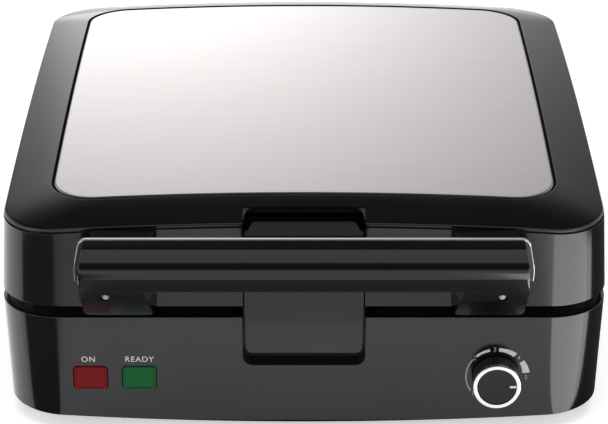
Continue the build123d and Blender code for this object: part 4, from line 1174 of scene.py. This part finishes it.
@dataclass
class Latch:
    """Rocking latch in the front of the lid."""

    casing: Casing
    half: float = 31.0
    low_half: float = 30.2
    drop: float = 26.3
    top: float = 45.0
    proud: float = 1.5
    thick: float = 4.0
    corner: float = 2.9
    bend: float = 2.0               # rounding of the plate's sides at the lid's edge
    plate_edge: float = 0.2
    edge: float = 0.5
    ledge_out: float = 5.0
    ledge_in: float = 8.6
    ledge: float = 4.0
    ledge_fall: float = 2.2         # its top falls by this much towards the front
    ledge_rear: float = 26.3        # half width at the rear
    ledge_corner: float = 2.4
    ledge_clear: float = 0.01       # its sides inside the plate's
    ledge_past: float = 1.0         # the plan outline reaches this far past the ledge
    nose_half: float = 18.0
    nose_in: float = 6.5
    nose_low: float = 19.4
    nose_high: float = 16.2
    nose_bite: float = 0.6          # overlap with the plate
    pivot: tuple[float, float] = (4.0, 22.0)    # behind the front face, above the lid's edge
    barrel: float = 4.6             # radius
    barrel_span: tuple[float, float] = (9.0, 28.0)      # out from the middle
    pin_hole: float = 2.06          # radius
    pin_half: float = 40.0          # half length of the tool that cuts it
    relief: float = 4.2             # radius of the room for the spring between the barrels

    def ledge_block(self) -> Piece:
        """Thumb ledge: a sloping side outline crossed with a plan outline that has round rear corners.

        Returns:
            The closed solid.
        """
        case = self.casing
        low = case.z_lid + self.top - self.ledge
        high = low + self.ledge
        y_low, y_high = case.y_front - self.ledge_out, case.y_front + self.ledge_in
        side = rectangle(y_low, y_high, low, high)
        side[3, 1] -= self.ledge_fall
        half = self.half - self.ledge_clear
        corners = rectangle(-half, half, y_low - self.ledge_past, y_high)
        corners[2:, 0] = self.ledge_rear, -self.ledge_rear
        plan = softened(corners, [CRISP, CRISP, self.ledge_corner, self.ledge_corner], CORNER_STEPS)
        block = prism("ledge", side, Axis.X, -self.half, self.half)
        tool = prism("plan", plan, Axis.Z, low - self.ledge_past, high + self.ledge_past)
        return carve(block, tool, Cut.COMMON)

    def flap(self) -> Piece:
        """The flap: a front plate, a thumb ledge, a hook nose and two barrels round the pin.

        Returns:
            The closed solid.
        """
        case = self.casing
        z = case.z_lid
        shape = mirrored([
            (self.low_half, z - self.drop), (self.half, z), (self.half, z + self.top - self.ledge_fall),
        ])
        reach = [ROUND * self.corner, self.bend, self.plate_edge]
        front = case.y_front - self.proud
        rear = front + self.thick
        plate = softened(shape, reach + reach[::-1], CORNER_STEPS)
        piece = prism("latch_flap_moulding", plate, Axis.Y, front, rear)
        carve(piece, self.ledge_block(), Cut.JOIN)
        nose = rectangle(-self.nose_half, self.nose_half, rear - self.nose_bite, case.y_front + self.nose_in)
        carve(piece, prism("nose", nose, Axis.Z, z - self.nose_low, z - self.nose_high), Cut.JOIN)
        axis = np.array([0, case.y_front + self.pivot[0], z + self.pivot[1]])
        near, far = self.barrel_span
        for side in Side:
            barrel = rod("barrel", self.barrel, side.value * near, side.value * far, Axis.X, axis)
            carve(piece, barrel, Cut.JOIN)
        carve(piece, rod("pin_hole", self.pin_hole, -self.pin_half, self.pin_half, Axis.X, axis), Cut.REMOVE)
        carve(piece, rod("relief", self.relief, -near, near, Axis.X, axis), Cut.REMOVE)
        return soften(piece, self.edge)

    def build(self) -> None:
        """Makes and dresses the flap."""
        dress(self.flap(), GLOSS_BLACK, "latch", "black_gloss", "latch_flap")


@dataclass
class Base:
    """Base housing with its latch pocket, control holes and hinge ears."""

    casing: Casing
    skirt_low: float = 3.0          # table to the lowest point of the skirt
    skirt_bow: float = 2000.0       # radius of the skirt's lower edge
    skirt_edge: float = 0.5
    pocket_half: float = 32.3
    pocket_drop: float = 35.1
    pocket_depth: float = 12.0
    pocket_corner: float = 5.3
    pocket_wall: float = 2.2
    pocket_margin: float = 0.2      # the pocket's walls stop this far below the rim
    recess_margin: float = 0.5      # how near the pocket's outline a face counts as inside it
    recess_back: float = 0.1        # and how near its back
    lens_hole: tuple[float, float, float] = (18.6, 14.3, 2.6)   # width, height and corner radius
    shaft_hole: float = 4.52        # radius
    gland_hole: float = 7.02        # radius
    ear: float = 6.0
    ear_gap: float = 6.0            # hinge middle to an ear's inner side

    def skirt(self) -> Piece:
        """The wall: a closed section carried round, whose lower edge bows up towards both sides.

        Returns:
            The closed solid.
        """
        case = self.casing
        corners = np.array([
            (0, self.skirt_low, self.skirt_edge), (0, case.z_rim, case.edge),
            (case.wall, case.z_rim, EASED), (case.wall, self.skirt_low, self.skirt_edge),
        ])
        section = softened(corners[:, :2], corners[:, 2])
        loop = case.loop(0)
        bow = self.skirt_bow - np.sqrt(self.skirt_bow ** 2 - loop[:, 0] ** 2)
        share = (case.z_rim - section[:, 1:]) / (case.z_rim - self.skirt_low)
        z = section[:, 1:] + share * bow
        inset = section[:, :1] + (case.z_rim - z) * case.base_slope
        rings = np.empty((*z.shape, 3))
        rings[:, :, :2] = loop - inset[:, :, None] * case.outward()
        rings[:, :, 2] = z
        return lofted("base_housing", rings, closed=True)

    def pocket(self, name: str, grow: float, high: float, start: float) -> Piece:
        """The latch pocket: a rectangle in front view with round lower corners.

        Args:
            name: name of the new piece.
            grow: thickness of wall round the pocket, or 0 for its hollow.
            high: upper height.
            start: how far behind the front face it begins.

        Returns:
            The closed solid.
        """
        case = self.casing
        half = self.pocket_half + grow
        corner = ROUND * (self.pocket_corner + grow)
        shape = rectangle(-half, half, case.z_lid - self.pocket_drop - grow, high)
        outline = softened(shape, [corner, corner, CRISP, CRISP], CORNER_STEPS)
        return prism(name, outline, Axis.Y, case.y_front + start, case.y_front + self.pocket_depth + grow)

    def ears(self) -> list[Piece]:
        """Makes two pairs of hinge ears.

        Returns:
            The four closed solids.
        """
        starts = [
            self.casing.hinge_x(side) + start
            for side in Side
            for start in (-self.ear_gap - self.ear, self.ear_gap)
        ]
        return [self.casing.lug("ear", x, x + self.ear, -1) for x in starts]

    def holes(self) -> list[Piece]:
        """Makes tools for the lens windows, the dial hole and the gland hole.

        Returns:
            The four closed solids.
        """
        case = self.casing
        tools = []
        for node in ("on_lens", "ready_lens"):
            outline = rounded_loop(*self.lens_hole) + node_box(node).mean(axis=0)[[0, 2]]
            tools.append(prism("window", outline, Axis.Y, case.y_front - PAST, case.y_front + PAST))
        bores = (
            ("thermostat_shaft", self.shaft_hole, case.y_front), ("cord_gland", self.gland_hole, case.y_rear),
        )
        for node, radius, y in bores:
            place = node_box(node).mean(axis=0)
            place[1] = y
            tools.append(rod("hole", radius, -PAST, PAST, Axis.Y, place))
        return tools

    def mark_recess(self, mesh: bpy.types.Mesh) -> None:
        """Gives the faces inside the latch pocket the second finish.

        Args:
            mesh: the housing's mesh.
        """
        case = self.casing
        x, y, z = face_centres(mesh).T
        margin = self.recess_margin
        near = (np.abs(x) < self.pocket_half + margin) & (z > case.z_lid - self.pocket_drop - margin)
        behind = y > case.wall_face(z) + margin
        mark_faces(mesh, near & behind & (y < case.y_front + self.pocket_depth + self.recess_back))

    def build(self) -> None:
        """Makes and dresses the housing."""
        case = self.casing
        piece = self.skirt()
        walls = self.pocket("pocket_walls", self.pocket_wall, case.z_rim - self.pocket_margin, case.wall / 2)
        for tool in [walls, *self.ears()]:
            carve(piece, tool, Cut.JOIN)
        for tool in [self.pocket("pocket", 0, case.z_rim + PAST, -PAST), *self.holes()]:
            carve(piece, tool, Cut.REMOVE)
        self.mark_recess(piece.data)
        dress(soften(piece, case.small_edge), GLOSS_BLACK, "base", "black_gloss", "base_shell")
        piece.data.materials.append(SATIN_BLACK.material())


@dataclass(frozen=True)
class DialArc:
    """One printed arc of the dial: degrees from three o'clock, and its width at both ends."""

    start: float
    end: float
    thin: float
    thick: float
    finish: Finish


@dataclass(frozen=True)
class LampWindow:
    """A lamp's lens with the word over it."""

    node: str
    finish: Finish
    slot: str
    word: str
    word_shift: float               # word's middle to the right of the lens's


@dataclass
class Controls:
    """Knob with its printed scale, the two lamps and their words."""

    casing: Casing
    knob_radius: float = 12.5
    knob_edge: float = 0.4          # chamfer of the knob's rear edge
    rim: float = 2.05               # width of the bright ring
    face_sink: float = 0.8          # knob's face behind the ring's front
    face_dish: float = 0.25         # hollow in the middle of the face
    # Edge of the face: in from the ring's inner side, and behind the face
    face_corners: Pairs = ((2.5, 0.2), (0.6, 0.0), (0.1, 0.05), (0.02, 0.4))
    ring_gap: tuple[float, float] = (0.02, 0.05)    # knob to the ring, at its inner side and its back
    # Shoulder behind the ring: in from the knob's side, and behind the ring
    shoulder_corners: Pairs = ((0.25, 0.1), (0.0, 0.35))
    ring_rounds: tuple[float, float, float, float] = (0.2, 0.55, CRISP, CRISP)
    ring_steps: int = 7
    tick_shift: tuple[float, float] = (1.1, 0.3)    # ends of the tick, to the right of the solid's
    tick_round: float = 0.4
    tick_edge: float = 0.12
    scale_radius: float = 15.9
    scale_shift: float = 0.3        # the print sits a little to the right
    arcs: tuple[DialArc, ...] = (
        DialArc(214, 141, thin=0.8, thick=0.9, finish=INK_GREY),
        DialArc(132, 103, thin=1.3, thick=1.6, finish=INK),
        DialArc(86, 52, thin=2.0, thick=2.7, finish=INK),
        DialArc(33, 7, thin=2.9, thick=3.9, finish=INK),
    )
    arc_steps: int = 40
    number_angles: tuple[float, ...] = (222, 137, 94, 43, -3)
    number_height: float = 2.6
    word_height: float = 3.2
    word_up: float = 2.0            # lens's flange to the middle of its word
    capital: float = 0.7            # height of a capital letter, as a share of the font's size
    spacing: float = 1.12
    letter_steps: int = 4
    ink: float = 0.06               # printed ink, much thickened to be a real shell
    ink_root: float = 0.3           # and its depth in the wall
    lens_size: tuple[float, float, float] = (17.6, 13.3, 2.2)       # width, height and corner radius
    flange_size: tuple[float, float, float] = (22.1, 17.8, 4.2)
    flange_front: float = 4.0       # flange behind the lens's front
    # Rings of a lens, from the flange to the middle: share of the outline, and depth behind the front
    lens_rings: Pairs = (
        (1.0, 3.2), (1.0, 0.5), (0.975, 0.1), (0.95, 0.0), (0.90, 0.05), (0.84, 0.55), (0.6, 0.6), (0.3, 0.6),
        (0.0, 0.6),
    )
    windows: tuple[LampWindow, ...] = (
        LampWindow("on_lens", RED_LENS, "red_lens", "ON", word_shift=-0.9),
        LampWindow("ready_lens", GREEN_LENS, "green_lens", "READY", word_shift=0.2),
    )

    def on_wall(self, flat: Array, lift: Array) -> Array:
        """Lays front-view points (X, Z) on the leaning front wall, lifted off it, shape (n, 3)."""
        y = self.casing.wall_face(flat[:, 1]) - lift
        return np.stack([flat[:, 0], y, flat[:, 1]], axis=1)

    def knob(self) -> None:
        """Makes and dresses the turned body, the bright ring and the raised pointer."""
        ring = node_box("knob_ring")
        centre = ring.mean(axis=0) * [1, 0, 1]
        front, step = ring[0, 1], ring[1, 1]
        back = node_box("control_knob")[1, 1]
        outer = self.knob_radius
        core = outer - self.rim
        face = front + self.face_sink
        side_gap, back_gap = self.ring_gap
        body = np.array([
            (0, face + self.face_dish), *((core - inset, face + drop) for inset, drop in self.face_corners),
            (core - side_gap, step + back_gap),
            *((outer - inset, step + drop) for inset, drop in self.shoulder_corners),
            (outer, back - self.knob_edge), (outer - self.knob_edge, back), (0, back),
        ])
        dress(turned("knob_body", body, Axis.Y, centre), KNOB, "knob", "black_satin", "control_knob")
        rim = softened(rectangle(core, outer, front, step), self.ring_rounds, self.ring_steps)
        bright = turned("knob_bright_ring", rim, Axis.Y, centre, closed=True)
        dress(bright, CHROME, "knob", "bright_trim", "knob_ring")
        tick = node_box("knob_pointer")
        left, right = tick[:, 0] + self.tick_shift
        outline = softened(rectangle(left, right, tick[0, 2], tick[1, 2]), [self.tick_round] * 4)
        mark = soften(prism("knob_tick", outline, Axis.Y, tick[0, 1], tick[1, 1]), self.tick_edge)
        dress(mark, INK, "knob", "white_mark", "knob_pointer")

    def scale(self) -> None:
        """Prints the dial: arcs that thicken clockwise round the knob, and a number at each end of them.

        An arc is a flat section carried round the dial's middle, half of its width to each side of the
        scale's radius.
        """
        middle = node_box("knob_ring").mean(axis=0)[[0, 2]] + [self.scale_shift, 0]
        section = np.array([[-1, 1, 1, -1]])
        height = [self.ink, self.ink, -self.ink_root, -self.ink_root]
        for number, arc in enumerate(self.arcs, 1):
            angle = np.radians(np.linspace(arc.start, arc.end, self.arc_steps))[:, None]
            width = np.linspace(arc.thin, arc.thick, self.arc_steps)[:, None]
            reach = self.scale_radius + width / 2 * section
            flat = np.stack([middle[0] + reach * np.cos(angle), middle[1] + reach * np.sin(angle)], axis=-1)
            lift = np.broadcast_to(height, reach.shape)
            rings = self.on_wall(flat.reshape(-1, 2), lift.ravel()).reshape(*reach.shape, 3)
            dress(lofted(f"dial_arc_{number}", rings), arc.finish, "base", "white_mark")
        for number, degrees in enumerate(self.number_angles, 1):
            angle = math.radians(degrees)
            place = middle + self.scale_radius * np.array([math.cos(angle), math.sin(angle)])
            digit = self.words(f"dial_number_{number}", str(number), self.number_height, place)
            dress(digit, INK_GREY, "base", "white_mark")

    def words(self, name: str, text: str, height: float, middle: Array) -> Piece:
        """Printed letters on the front wall, made a mesh and then laid on the wall.

        Args:
            name: name of the new piece.
            text: the letters.
            height: height of a capital letter.
            middle: middle of the text, X and Z, shape (2,).

        Returns:
            The piece.
        """
        curve = bpy.data.curves.new(name, "FONT")
        curve.body = text
        curve.align_x = "CENTER"
        curve.align_y = "CENTER"
        curve.size = height * MM / self.capital
        curve.space_character = self.spacing
        curve.extrude = self.ink * MM
        curve.resolution_u = self.letter_steps
        flat = placed(name, curve)
        mesh = finished_mesh(flat)
        bpy.data.objects.remove(flat)
        places = read_values(mesh.vertices, "co", 3, np.float32) / MM
        laid = self.on_wall(places[:, :2] + middle, places[:, 2])
        mesh.vertices.foreach_set("co", (laid * MM).astype(np.float32).ravel())
        tidy_mesh(mesh)
        return placed(name, mesh)

    def lens(self, window: LampWindow) -> None:
        """Makes and dresses a lens with a raised border: its outline shrinks in rings towards the middle.

        Args:
            window: the lens and its word.
        """
        box = node_box(window.node)
        middle = box.mean(axis=0)
        loop = rounded_loop(*self.lens_size)
        flange = rounded_loop(*self.flange_size)
        front, back = box[:, 1]
        thick = back - front
        shrink, depth = np.array(self.lens_rings).T
        outlines = np.concatenate([[0 * flange, flange, flange], shrink[:, None, None] * loop])
        behind = np.concatenate([[thick, thick, self.flange_front], depth])
        rings = np.empty((len(outlines), len(loop), 3))
        rings[:, :, [0, 2]] = middle[[0, 2]] + outlines
        rings[:, :, 1] = front + behind[:, None]
        piece = lofted(window.node + "_window", rings)
        dress(piece, window.finish, "base", window.slot, window.node)
        place = np.array([middle[0] + window.word_shift, box[1, 2] + self.word_up])
        word = self.words(window.node + "_word", window.word, self.word_height, place)
        dress(word, INK, "base", "white_mark")

    def build(self) -> None:
        """Makes and dresses the controls."""
        self.knob()
        self.scale()
        for window in self.windows:
            self.lens(window)


@dataclass
class WafflePlates:
    """The two cast plates, each one height over the plan, with its mirror image in the lid."""

    flange: float = 7.0
    flange_back: float = 3.3        # flange's face to its back
    pan_back: float = 16.0          # and to the back of the pan
    rim_corner: float = 18.0
    rim_round: float = 0.5
    depth: float = 12.5             # recess below the flange
    divider: float = 8.0
    border: float = 4.0
    corner: float = 8.0
    draft: float = 1.6              # width of a recess wall's slope
    stud_height: float = 9.0
    stud_share: float = 0.66        # foot of a stud, as a share of its cell
    stud_slope: float = 1.9
    recess_floor: float = 0.99      # share of the wall's slope past which studs stand
    cells: int = 5
    lines: int = 11                 # grid lines across one cell
    edge_lines: tuple[float, ...] = (0.2, 0.6, 1.2)         # more of them outside a recess
    rim_lines: tuple[float, ...] = (2.0, 0.8, 0.3, 0.0)     # and inside the plate's edge

    def lines_of(self, span: float) -> Array:
        """Grid lines across the plate: close together at the flange, the border and the divider.

        Args:
            span: the plate's width or length.

        Returns:
            Places about the plate's middle, in order, shape (n,).
        """
        near, far = self.divider / 2, span / 2 - self.flange - self.border
        recess = np.linspace(near, far, self.cells * self.lines + 1)
        beside = np.array(self.edge_lines)
        rim = span / 2 - np.array(self.rim_lines)
        half = np.concatenate([[0], near - beside[::-1], recess, far + beside, rim])
        return np.concatenate([-half[:0:-1], half])

    def height(self, x: Array, y: Array, width: float, length: float) -> Array:
        """Depth below the flange's face, at plan points about the plate's middle.

        A recess is the distance into a rounded rectangle, eased over its draft. A stud in it is the lesser of
        two ramps, one along X and one along Y, measured from the middle of its cell.

        Args:
            x: places along X.
            y: places along Y, of the same shape.
            width: the plate's size along X.
            length: the plate's size along Y.

        Returns:
            Depths, of the same shape.
        """
        past, ramps = [], []
        for place, span in ((x, width), (y, length)):
            size = span / 2 - self.flange - self.border - self.divider / 2
            local = np.abs(place) - self.divider / 2 - size / 2
            cell = size / self.cells
            off = np.abs((local / cell + self.cells / 2) % 1 - 0.5) * cell
            past.append(np.abs(local) - (size / 2 - self.corner))
            ramps.append((self.stud_share * cell / 2 - off) / self.stud_slope)
        wall = np.clip((self.corner - past_corner(*past)) / self.draft, 0, 1)
        stud = np.where(wall > self.recess_floor, smooth_step(np.clip(np.minimum(*ramps), 0, 1)), 0)
        return smooth_step(wall) * self.depth - stud * self.stud_height

    def plate(self, name: str, node: str, up: int) -> Piece:
        """One plate: the patterned face, a rim wall and a plain back, closed by straight faces.

        The grid's corners are drawn in to the plate's round corners, along the line to each corner's centre.

        Args:
            name: name of the new piece.
            node: the solid that it stands for.
            up: 1 for a face that looks up, -1 for one that looks down.

        Returns:
            The closed solid.
        """
        box = node_box(node)
        width, length = (box[1] - box[0])[:2]
        middle = box.mean(axis=0)
        face = box[1, 2] if up > 0 else box[0, 2]
        x, y = np.meshgrid(self.lines_of(width), self.lines_of(length))
        down = self.height(x, y, width, length)
        edge = np.minimum(width / 2 - np.abs(x), length / 2 - np.abs(y))
        corner = self.rim_corner
        past_x = np.maximum(np.abs(x) - (width / 2 - corner), 0)
        past_y = np.maximum(np.abs(y) - (length / 2 - corner), 0)
        reach = np.hypot(past_x, past_y)
        pull = corner / np.maximum(reach, corner)
        x = np.sign(x) * (np.abs(x) - past_x * (1 - pull))
        y = np.sign(y) * (np.abs(y) - past_y * (1 - pull))
        rim = np.minimum(edge, corner - np.minimum(reach, corner))
        down += np.clip(self.rim_round - rim, 0, self.rim_round)
        top = np.stack([middle[0] + x, middle[1] + y, face - up * down], axis=-1)
        back = top.copy()
        back[:, :, 2] = face - up * np.where(edge > self.flange, self.pan_back, self.flange_back)
        index = np.arange(x.size).reshape(x.shape)
        quads = np.stack([index[:-1, :-1], index[:-1, 1:], index[1:, 1:], index[1:, :-1]], axis=-1)
        quads = quads.reshape(-1, 4)
        border = np.concatenate([index[0, :-1], index[:-1, -1], index[-1, :0:-1], index[:0:-1, 0]])
        after = np.roll(border, -1)
        sides = np.stack([border, after, after + x.size, border + x.size], axis=-1)
        faces = np.concatenate([quads, quads[:, ::-1] + x.size, sides]).tolist()
        return mesh_piece(name, np.concatenate([top.reshape(-1, 3), back.reshape(-1, 3)]), faces)

    def build(self) -> None:
        """Makes and dresses both plates."""
        for part, up, body in (("lower", 1, "base"), ("upper", -1, "lid")):
            node = part + "_waffle_plate"
            dress(self.plate(part + "_plate_casting", node, up), NONSTICK, body, "coated_casting", node)


class Fittings:
    """The solids that keep their own shape and only get a finish."""

    def build(self) -> None:
        """Dresses every solid that nothing stands for."""
        slots = {part["node"]: part["material_slot"] for part in frame["record"]["subparts"]}
        for node, piece in frame["nodes"].items():
            if piece.hide_render:
                continue
            piece.data.materials.clear()
            piece.data.materials.append(NODE_FINISH[slots[node]].material())
            LOG.info("%s keeps its shape", node)


@dataclass(frozen=True)
class Lamp:
    """A rectangular studio light."""

    name: str
    place: tuple[float, float, float]       # metres
    size: tuple[float, float]               # metres
    power: float                            # watts
    panel: bool = False                     # looks up and only shows as a reflection
    turn: float = 0.0                       # degrees about the vertical


@dataclass
class Studio:
    """Floor, backdrop light, lamps, cards and the camera of the photograph."""

    eye: tuple[float, float, float] = (0.0, -1341.7, 656.3)
    tilt: float = 24.18             # degrees below the horizon
    focal: float = 2520.5           # pixels
    frame_width: float = 608.0      # pixels
    sensor: float = 36.0
    clip_end: float = 100.0         # metres
    floor_half: float = 6.0         # metres
    floor_gap: float = 0.05         # floor below the feet
    # A softbox overhead, and two low panels that only show as reflections in the rounded corners
    rig: tuple[Lamp, ...] = (
        Lamp("top softbox", (0.0, -0.25, 1.8), (2.4, 1.6), power=25.0),
        Lamp("right floor panel", (0.304, -0.348, 0.002), (0.296, 0.40), power=1.18, panel=True, turn=6.0),
        Lamp("left floor panel", (-0.375, -0.029, 0.002), (0.45, 0.258), power=0.10, panel=True),
    )
    card_lift: float = 0.5          # floor cards above the floor
    side_card: float = 146.0        # middle to a side card's inner edge
    side_fall: float = 60.0         # its outer side begins this far before the base's face
    left_out: float = 450.0         # left card's outer edge
    left_fore: tuple[float, float] = (-175.0, -550.0)   # its inner corner nearest to the camera
    left_tip: float = -131.0        # its corner at the base's face
    left_tip_in: float = 4.0
    right_out: float = 600.0        # right card's outer edge
    right_rear: float = 250.0
    front_half: float = 150.0       # half width of the card under the front edge, a painted contact shadow
    front_span: tuple[float, float] = (-3.0, 5.0)       # from the base's face
    handle_half: float = 118.0      # half width of the card under the handle, a painted shadow of the handle
    handle_span: tuple[float, float] = (-44.0, -4.0)    # from the base's face
    handle_drop: float = 14.0       # and below the handle's back
    # Card before the object: from left to right, then from front to rear
    fore_card: tuple[float, float, float, float] = (-175.0, 150.0, -900.0, -290.0)
    gap_span: tuple[float, float] = (33.0, 77.0)        # white cards behind the handle, out from the middle
    gap_behind: float = 2.0
    gap_top: float = 5.0            # their top below the handle's
    screen: float = 2.2             # brightness of the screen behind
    ambient: float = 0.03
    # Shades of the light all round, each stop a place and a grey. Upwards: all of it, and the bright spot
    rise: Pairs = ((0.30, 1.0), (0.54, 0.9), (0.66, 0.2), (0.78, 0.02))
    low: Pairs = ((0.20, 1.0), (0.36, 0.55), (0.50, 0.18), (0.62, 0.0))
    # From left to right: the screen, the bright spot on its left, and a dim wall at each side
    wide: Pairs = (
        (0.27, 0.07), (0.38, 0.42), (0.43, 0.53), (0.50, 0.53), (0.57, 0.34), (0.62, 0.22), (0.73, 0.05),
    )
    spot: Pairs = ((0.36, 0.0), (0.42, 0.48), (0.46, 0.45), (0.50, 0.30), (0.55, 0.0))
    sides: Pairs = ((0.12, 0.45), (0.26, 0.0), (0.74, 0.0), (0.88, 0.45))
    # From front to rear: the dim wall before the object, and where the screen begins
    fore: Pairs = ((0.20, 0.40), (0.42, 0.0))
    deep: Pairs = ((0.45, 0.0), (0.70, 1.0))

    def camera(self) -> None:
        """Sets a level camera that looks along +Y and down."""
        data = bpy.data.cameras.new("camera")
        data.sensor_width = self.sensor
        data.sensor_fit = "HORIZONTAL"
        data.lens = self.focal * self.sensor / self.frame_width
        data.clip_end = self.clip_end
        camera = placed("camera", data)
        camera.location = np.array(self.eye) * MM
        camera.rotation_euler = (QUARTER - math.radians(self.tilt), 0, 0)
        bpy.context.scene.camera = camera

    def floor(self) -> None:
        """Lays a wide flat floor, a little under the feet."""
        half = self.floor_half / MM
        height = np.full((4, 1), -self.floor_gap)
        points = np.concatenate([rectangle(-half, half, -half, half), height], axis=1)
        piece = mesh_piece("studio_floor", points, [[0, 1, 2, 3]])
        piece.data.materials.append(FLOOR.material())

    def lamps(self) -> None:
        """Hangs the lamps of the rig."""
        for lamp in self.rig:
            data = bpy.data.lights.new(lamp.name, "AREA")
            data.shape = "RECTANGLE"
            data.size, data.size_y = lamp.size
            data.energy = lamp.power
            piece = placed(lamp.name, data)
            piece.location = lamp.place
            piece.rotation_euler = (math.pi if lamp.panel else 0, 0, math.radians(lamp.turn))
            piece.visible_camera = False
            piece.visible_diffuse = not lamp.panel
            piece.visible_glossy = lamp.panel

    def card(self, name: str, finish: Finish, outline: Array, axis: Axis, place: float) -> None:
        """Puts up a flat card that only shows in reflections.

        Args:
            name: name of the card.
            finish: its finish.
            outline: its corners in the other two axes, in their order, shape (n, 2).
            axis: the axis that it stands square to.
            place: its place along that axis.
        """
        points = np.full((len(outline), 3), place)
        points[:, axis.value[1:]] = outline
        piece = mesh_piece(name, points, [list(range(len(points)))])
        piece.data.materials.append(finish.material())
        piece.visible_camera = False
        piece.visible_diffuse = False
        piece.visible_shadow = False

    def cards(self) -> None:
        """Puts up the cards that shape the reflections.

        Dark ones lie at both sides and under the front edge, a mid grey one under the handle and a pale one
        before the object, and a white one stands on each side behind the handle. The ones under the front
        edge and the handle are painted shadows, for the shade that the base and the handle cast on the floor.
        """
        front = node_box("base_shell")[0, 1]
        handle = node_box("handle_back")
        fall = front - self.side_fall
        left = np.array([
            (-self.left_out, self.left_fore[1]), self.left_fore, (self.left_tip, front),
            (-self.side_card, front + self.left_tip_in), (-self.left_out, fall),
        ])
        right = np.array([
            (self.side_card, front), (self.right_out, fall), (self.right_out, self.right_rear),
            (self.side_card, self.right_rear),
        ])
        edge, grip = front + np.array(self.front_span), front + np.array(self.handle_span)
        under = rectangle(-self.front_half, self.front_half, *edge)
        self.card("left_card", CARD, left, Axis.Z, self.card_lift)
        self.card("right_card", CARD, right, Axis.Z, self.card_lift)
        # Painted contact shadow: a dark card under the front edge stands for the base's shade on the floor
        self.card("painted_contact_shadow_card", CARD, under, Axis.Z, self.card_lift)
        below = rectangle(-self.handle_half, self.handle_half, *grip)
        # Painted shadow: a grey card under the handle stands for the handle's shade on the floor
        self.card("painted_handle_shadow_card", HANDLE_SHADOW_GREY, below, Axis.Z, handle[0, 2] - self.handle_drop)
        self.card("fore_card", PALE_CARD, rectangle(*self.fore_card), Axis.Z, self.card_lift)
        behind = handle[1, 1] + self.gap_behind
        for side in Side:
            near, far = sorted(side.value * x for x in self.gap_span)
            gap = rectangle(near, far, handle[0, 2], handle[1, 2] - self.gap_top)
            self.card(f"gap_card_{side.name.lower()}", WHITE_CARD, gap, Axis.Y, behind)

    def backdrop(self) -> None:
        """Lights the object from all round.

        The light is a screen behind, with a brighter spot low on its left, plus dim walls at the sides and
        the front. It fades with height, and a faint even light is added.
        """
        world = bpy.data.worlds.new("backdrop")
        world.use_nodes = True
        tree = world.node_tree
        tree.nodes.clear()
        way = add_node(tree, "ShaderNodeTexCoord", {}, {})
        parts = add_node(tree, "ShaderNodeSeparateXYZ", {}, {0: way.outputs["Generated"]})
        half = {"From Min": -1.0, "From Max": 1.0}
        up = parts.outputs["Z"]
        across, behind = (
            add_node(tree, "ShaderNodeMapRange", {}, {"Value": parts.outputs[name], **half}).outputs[0]
            for name in ("X", "Y")
        )
        shade = {}
        ramps = {
            "rise": (up, self.rise), "wide": (across, self.wide), "low": (up, self.low),
            "spot": (across, self.spot), "deep": (behind, self.deep), "sides": (across, self.sides),
            "fore": (behind, self.fore),
        }
        for name, (value, stops) in ramps.items():
            node = add_node(tree, "ShaderNodeValToRGB", {}, {0: value})
            elements = node.color_ramp.elements
            for place, grey in stops:
                elements.new(place).color = (grey, grey, grey, 1)
            elements.remove(elements[0])
            elements.remove(elements[-1])
            shade[name] = node.outputs[0]
        steps = (
            ("low spot", "MULTIPLY", "spot", "low"), ("whole screen", "ADD", "wide", "low spot"),
            ("rear", "MULTIPLY", "whole screen", "deep"), ("walls", "ADD", "sides", "fore"),
            ("all round", "ADD", "rear", "walls"), ("faded", "MULTIPLY", "all round", "rise"),
        )
        for name, operation, first, second in steps:
            node = add_node(tree, "ShaderNodeMath", {"operation": operation}, {
                0: shade[first], 1: shade[second],
            })
            shade[name] = node.outputs[0]
        level = add_node(tree, "ShaderNodeMath", {"operation": "MULTIPLY_ADD"}, {
            0: shade["faded"], 1: self.screen, 2: self.ambient,
        })
        white = {"Strength": level.outputs[0], "Color": (1, 1, 1, 1)}
        light = add_node(tree, "ShaderNodeBackground", {}, white)
        add_node(tree, "ShaderNodeOutputWorld", {}, {0: light.outputs[0]})
        bpy.context.scene.world = world

    def build(self) -> None:
        """Sets the stage, with plain display colours."""
        bpy.context.scene.view_settings.view_transform = "Standard"
        self.camera()
        self.floor()
        self.cards()
        self.lamps()
        self.backdrop()


def main() -> None:
    """Builds the pieces in order, then the studio."""
    logging.basicConfig(level=logging.INFO, format="%(message)s")
    casing = Casing()
    for assembly in (LidTop, Handle, Latch, Base, Controls):
        assembly(casing).build()
    WafflePlates().build()
    Fittings().build()
    Studio().build()


if __name__ == "__main__":
    main()
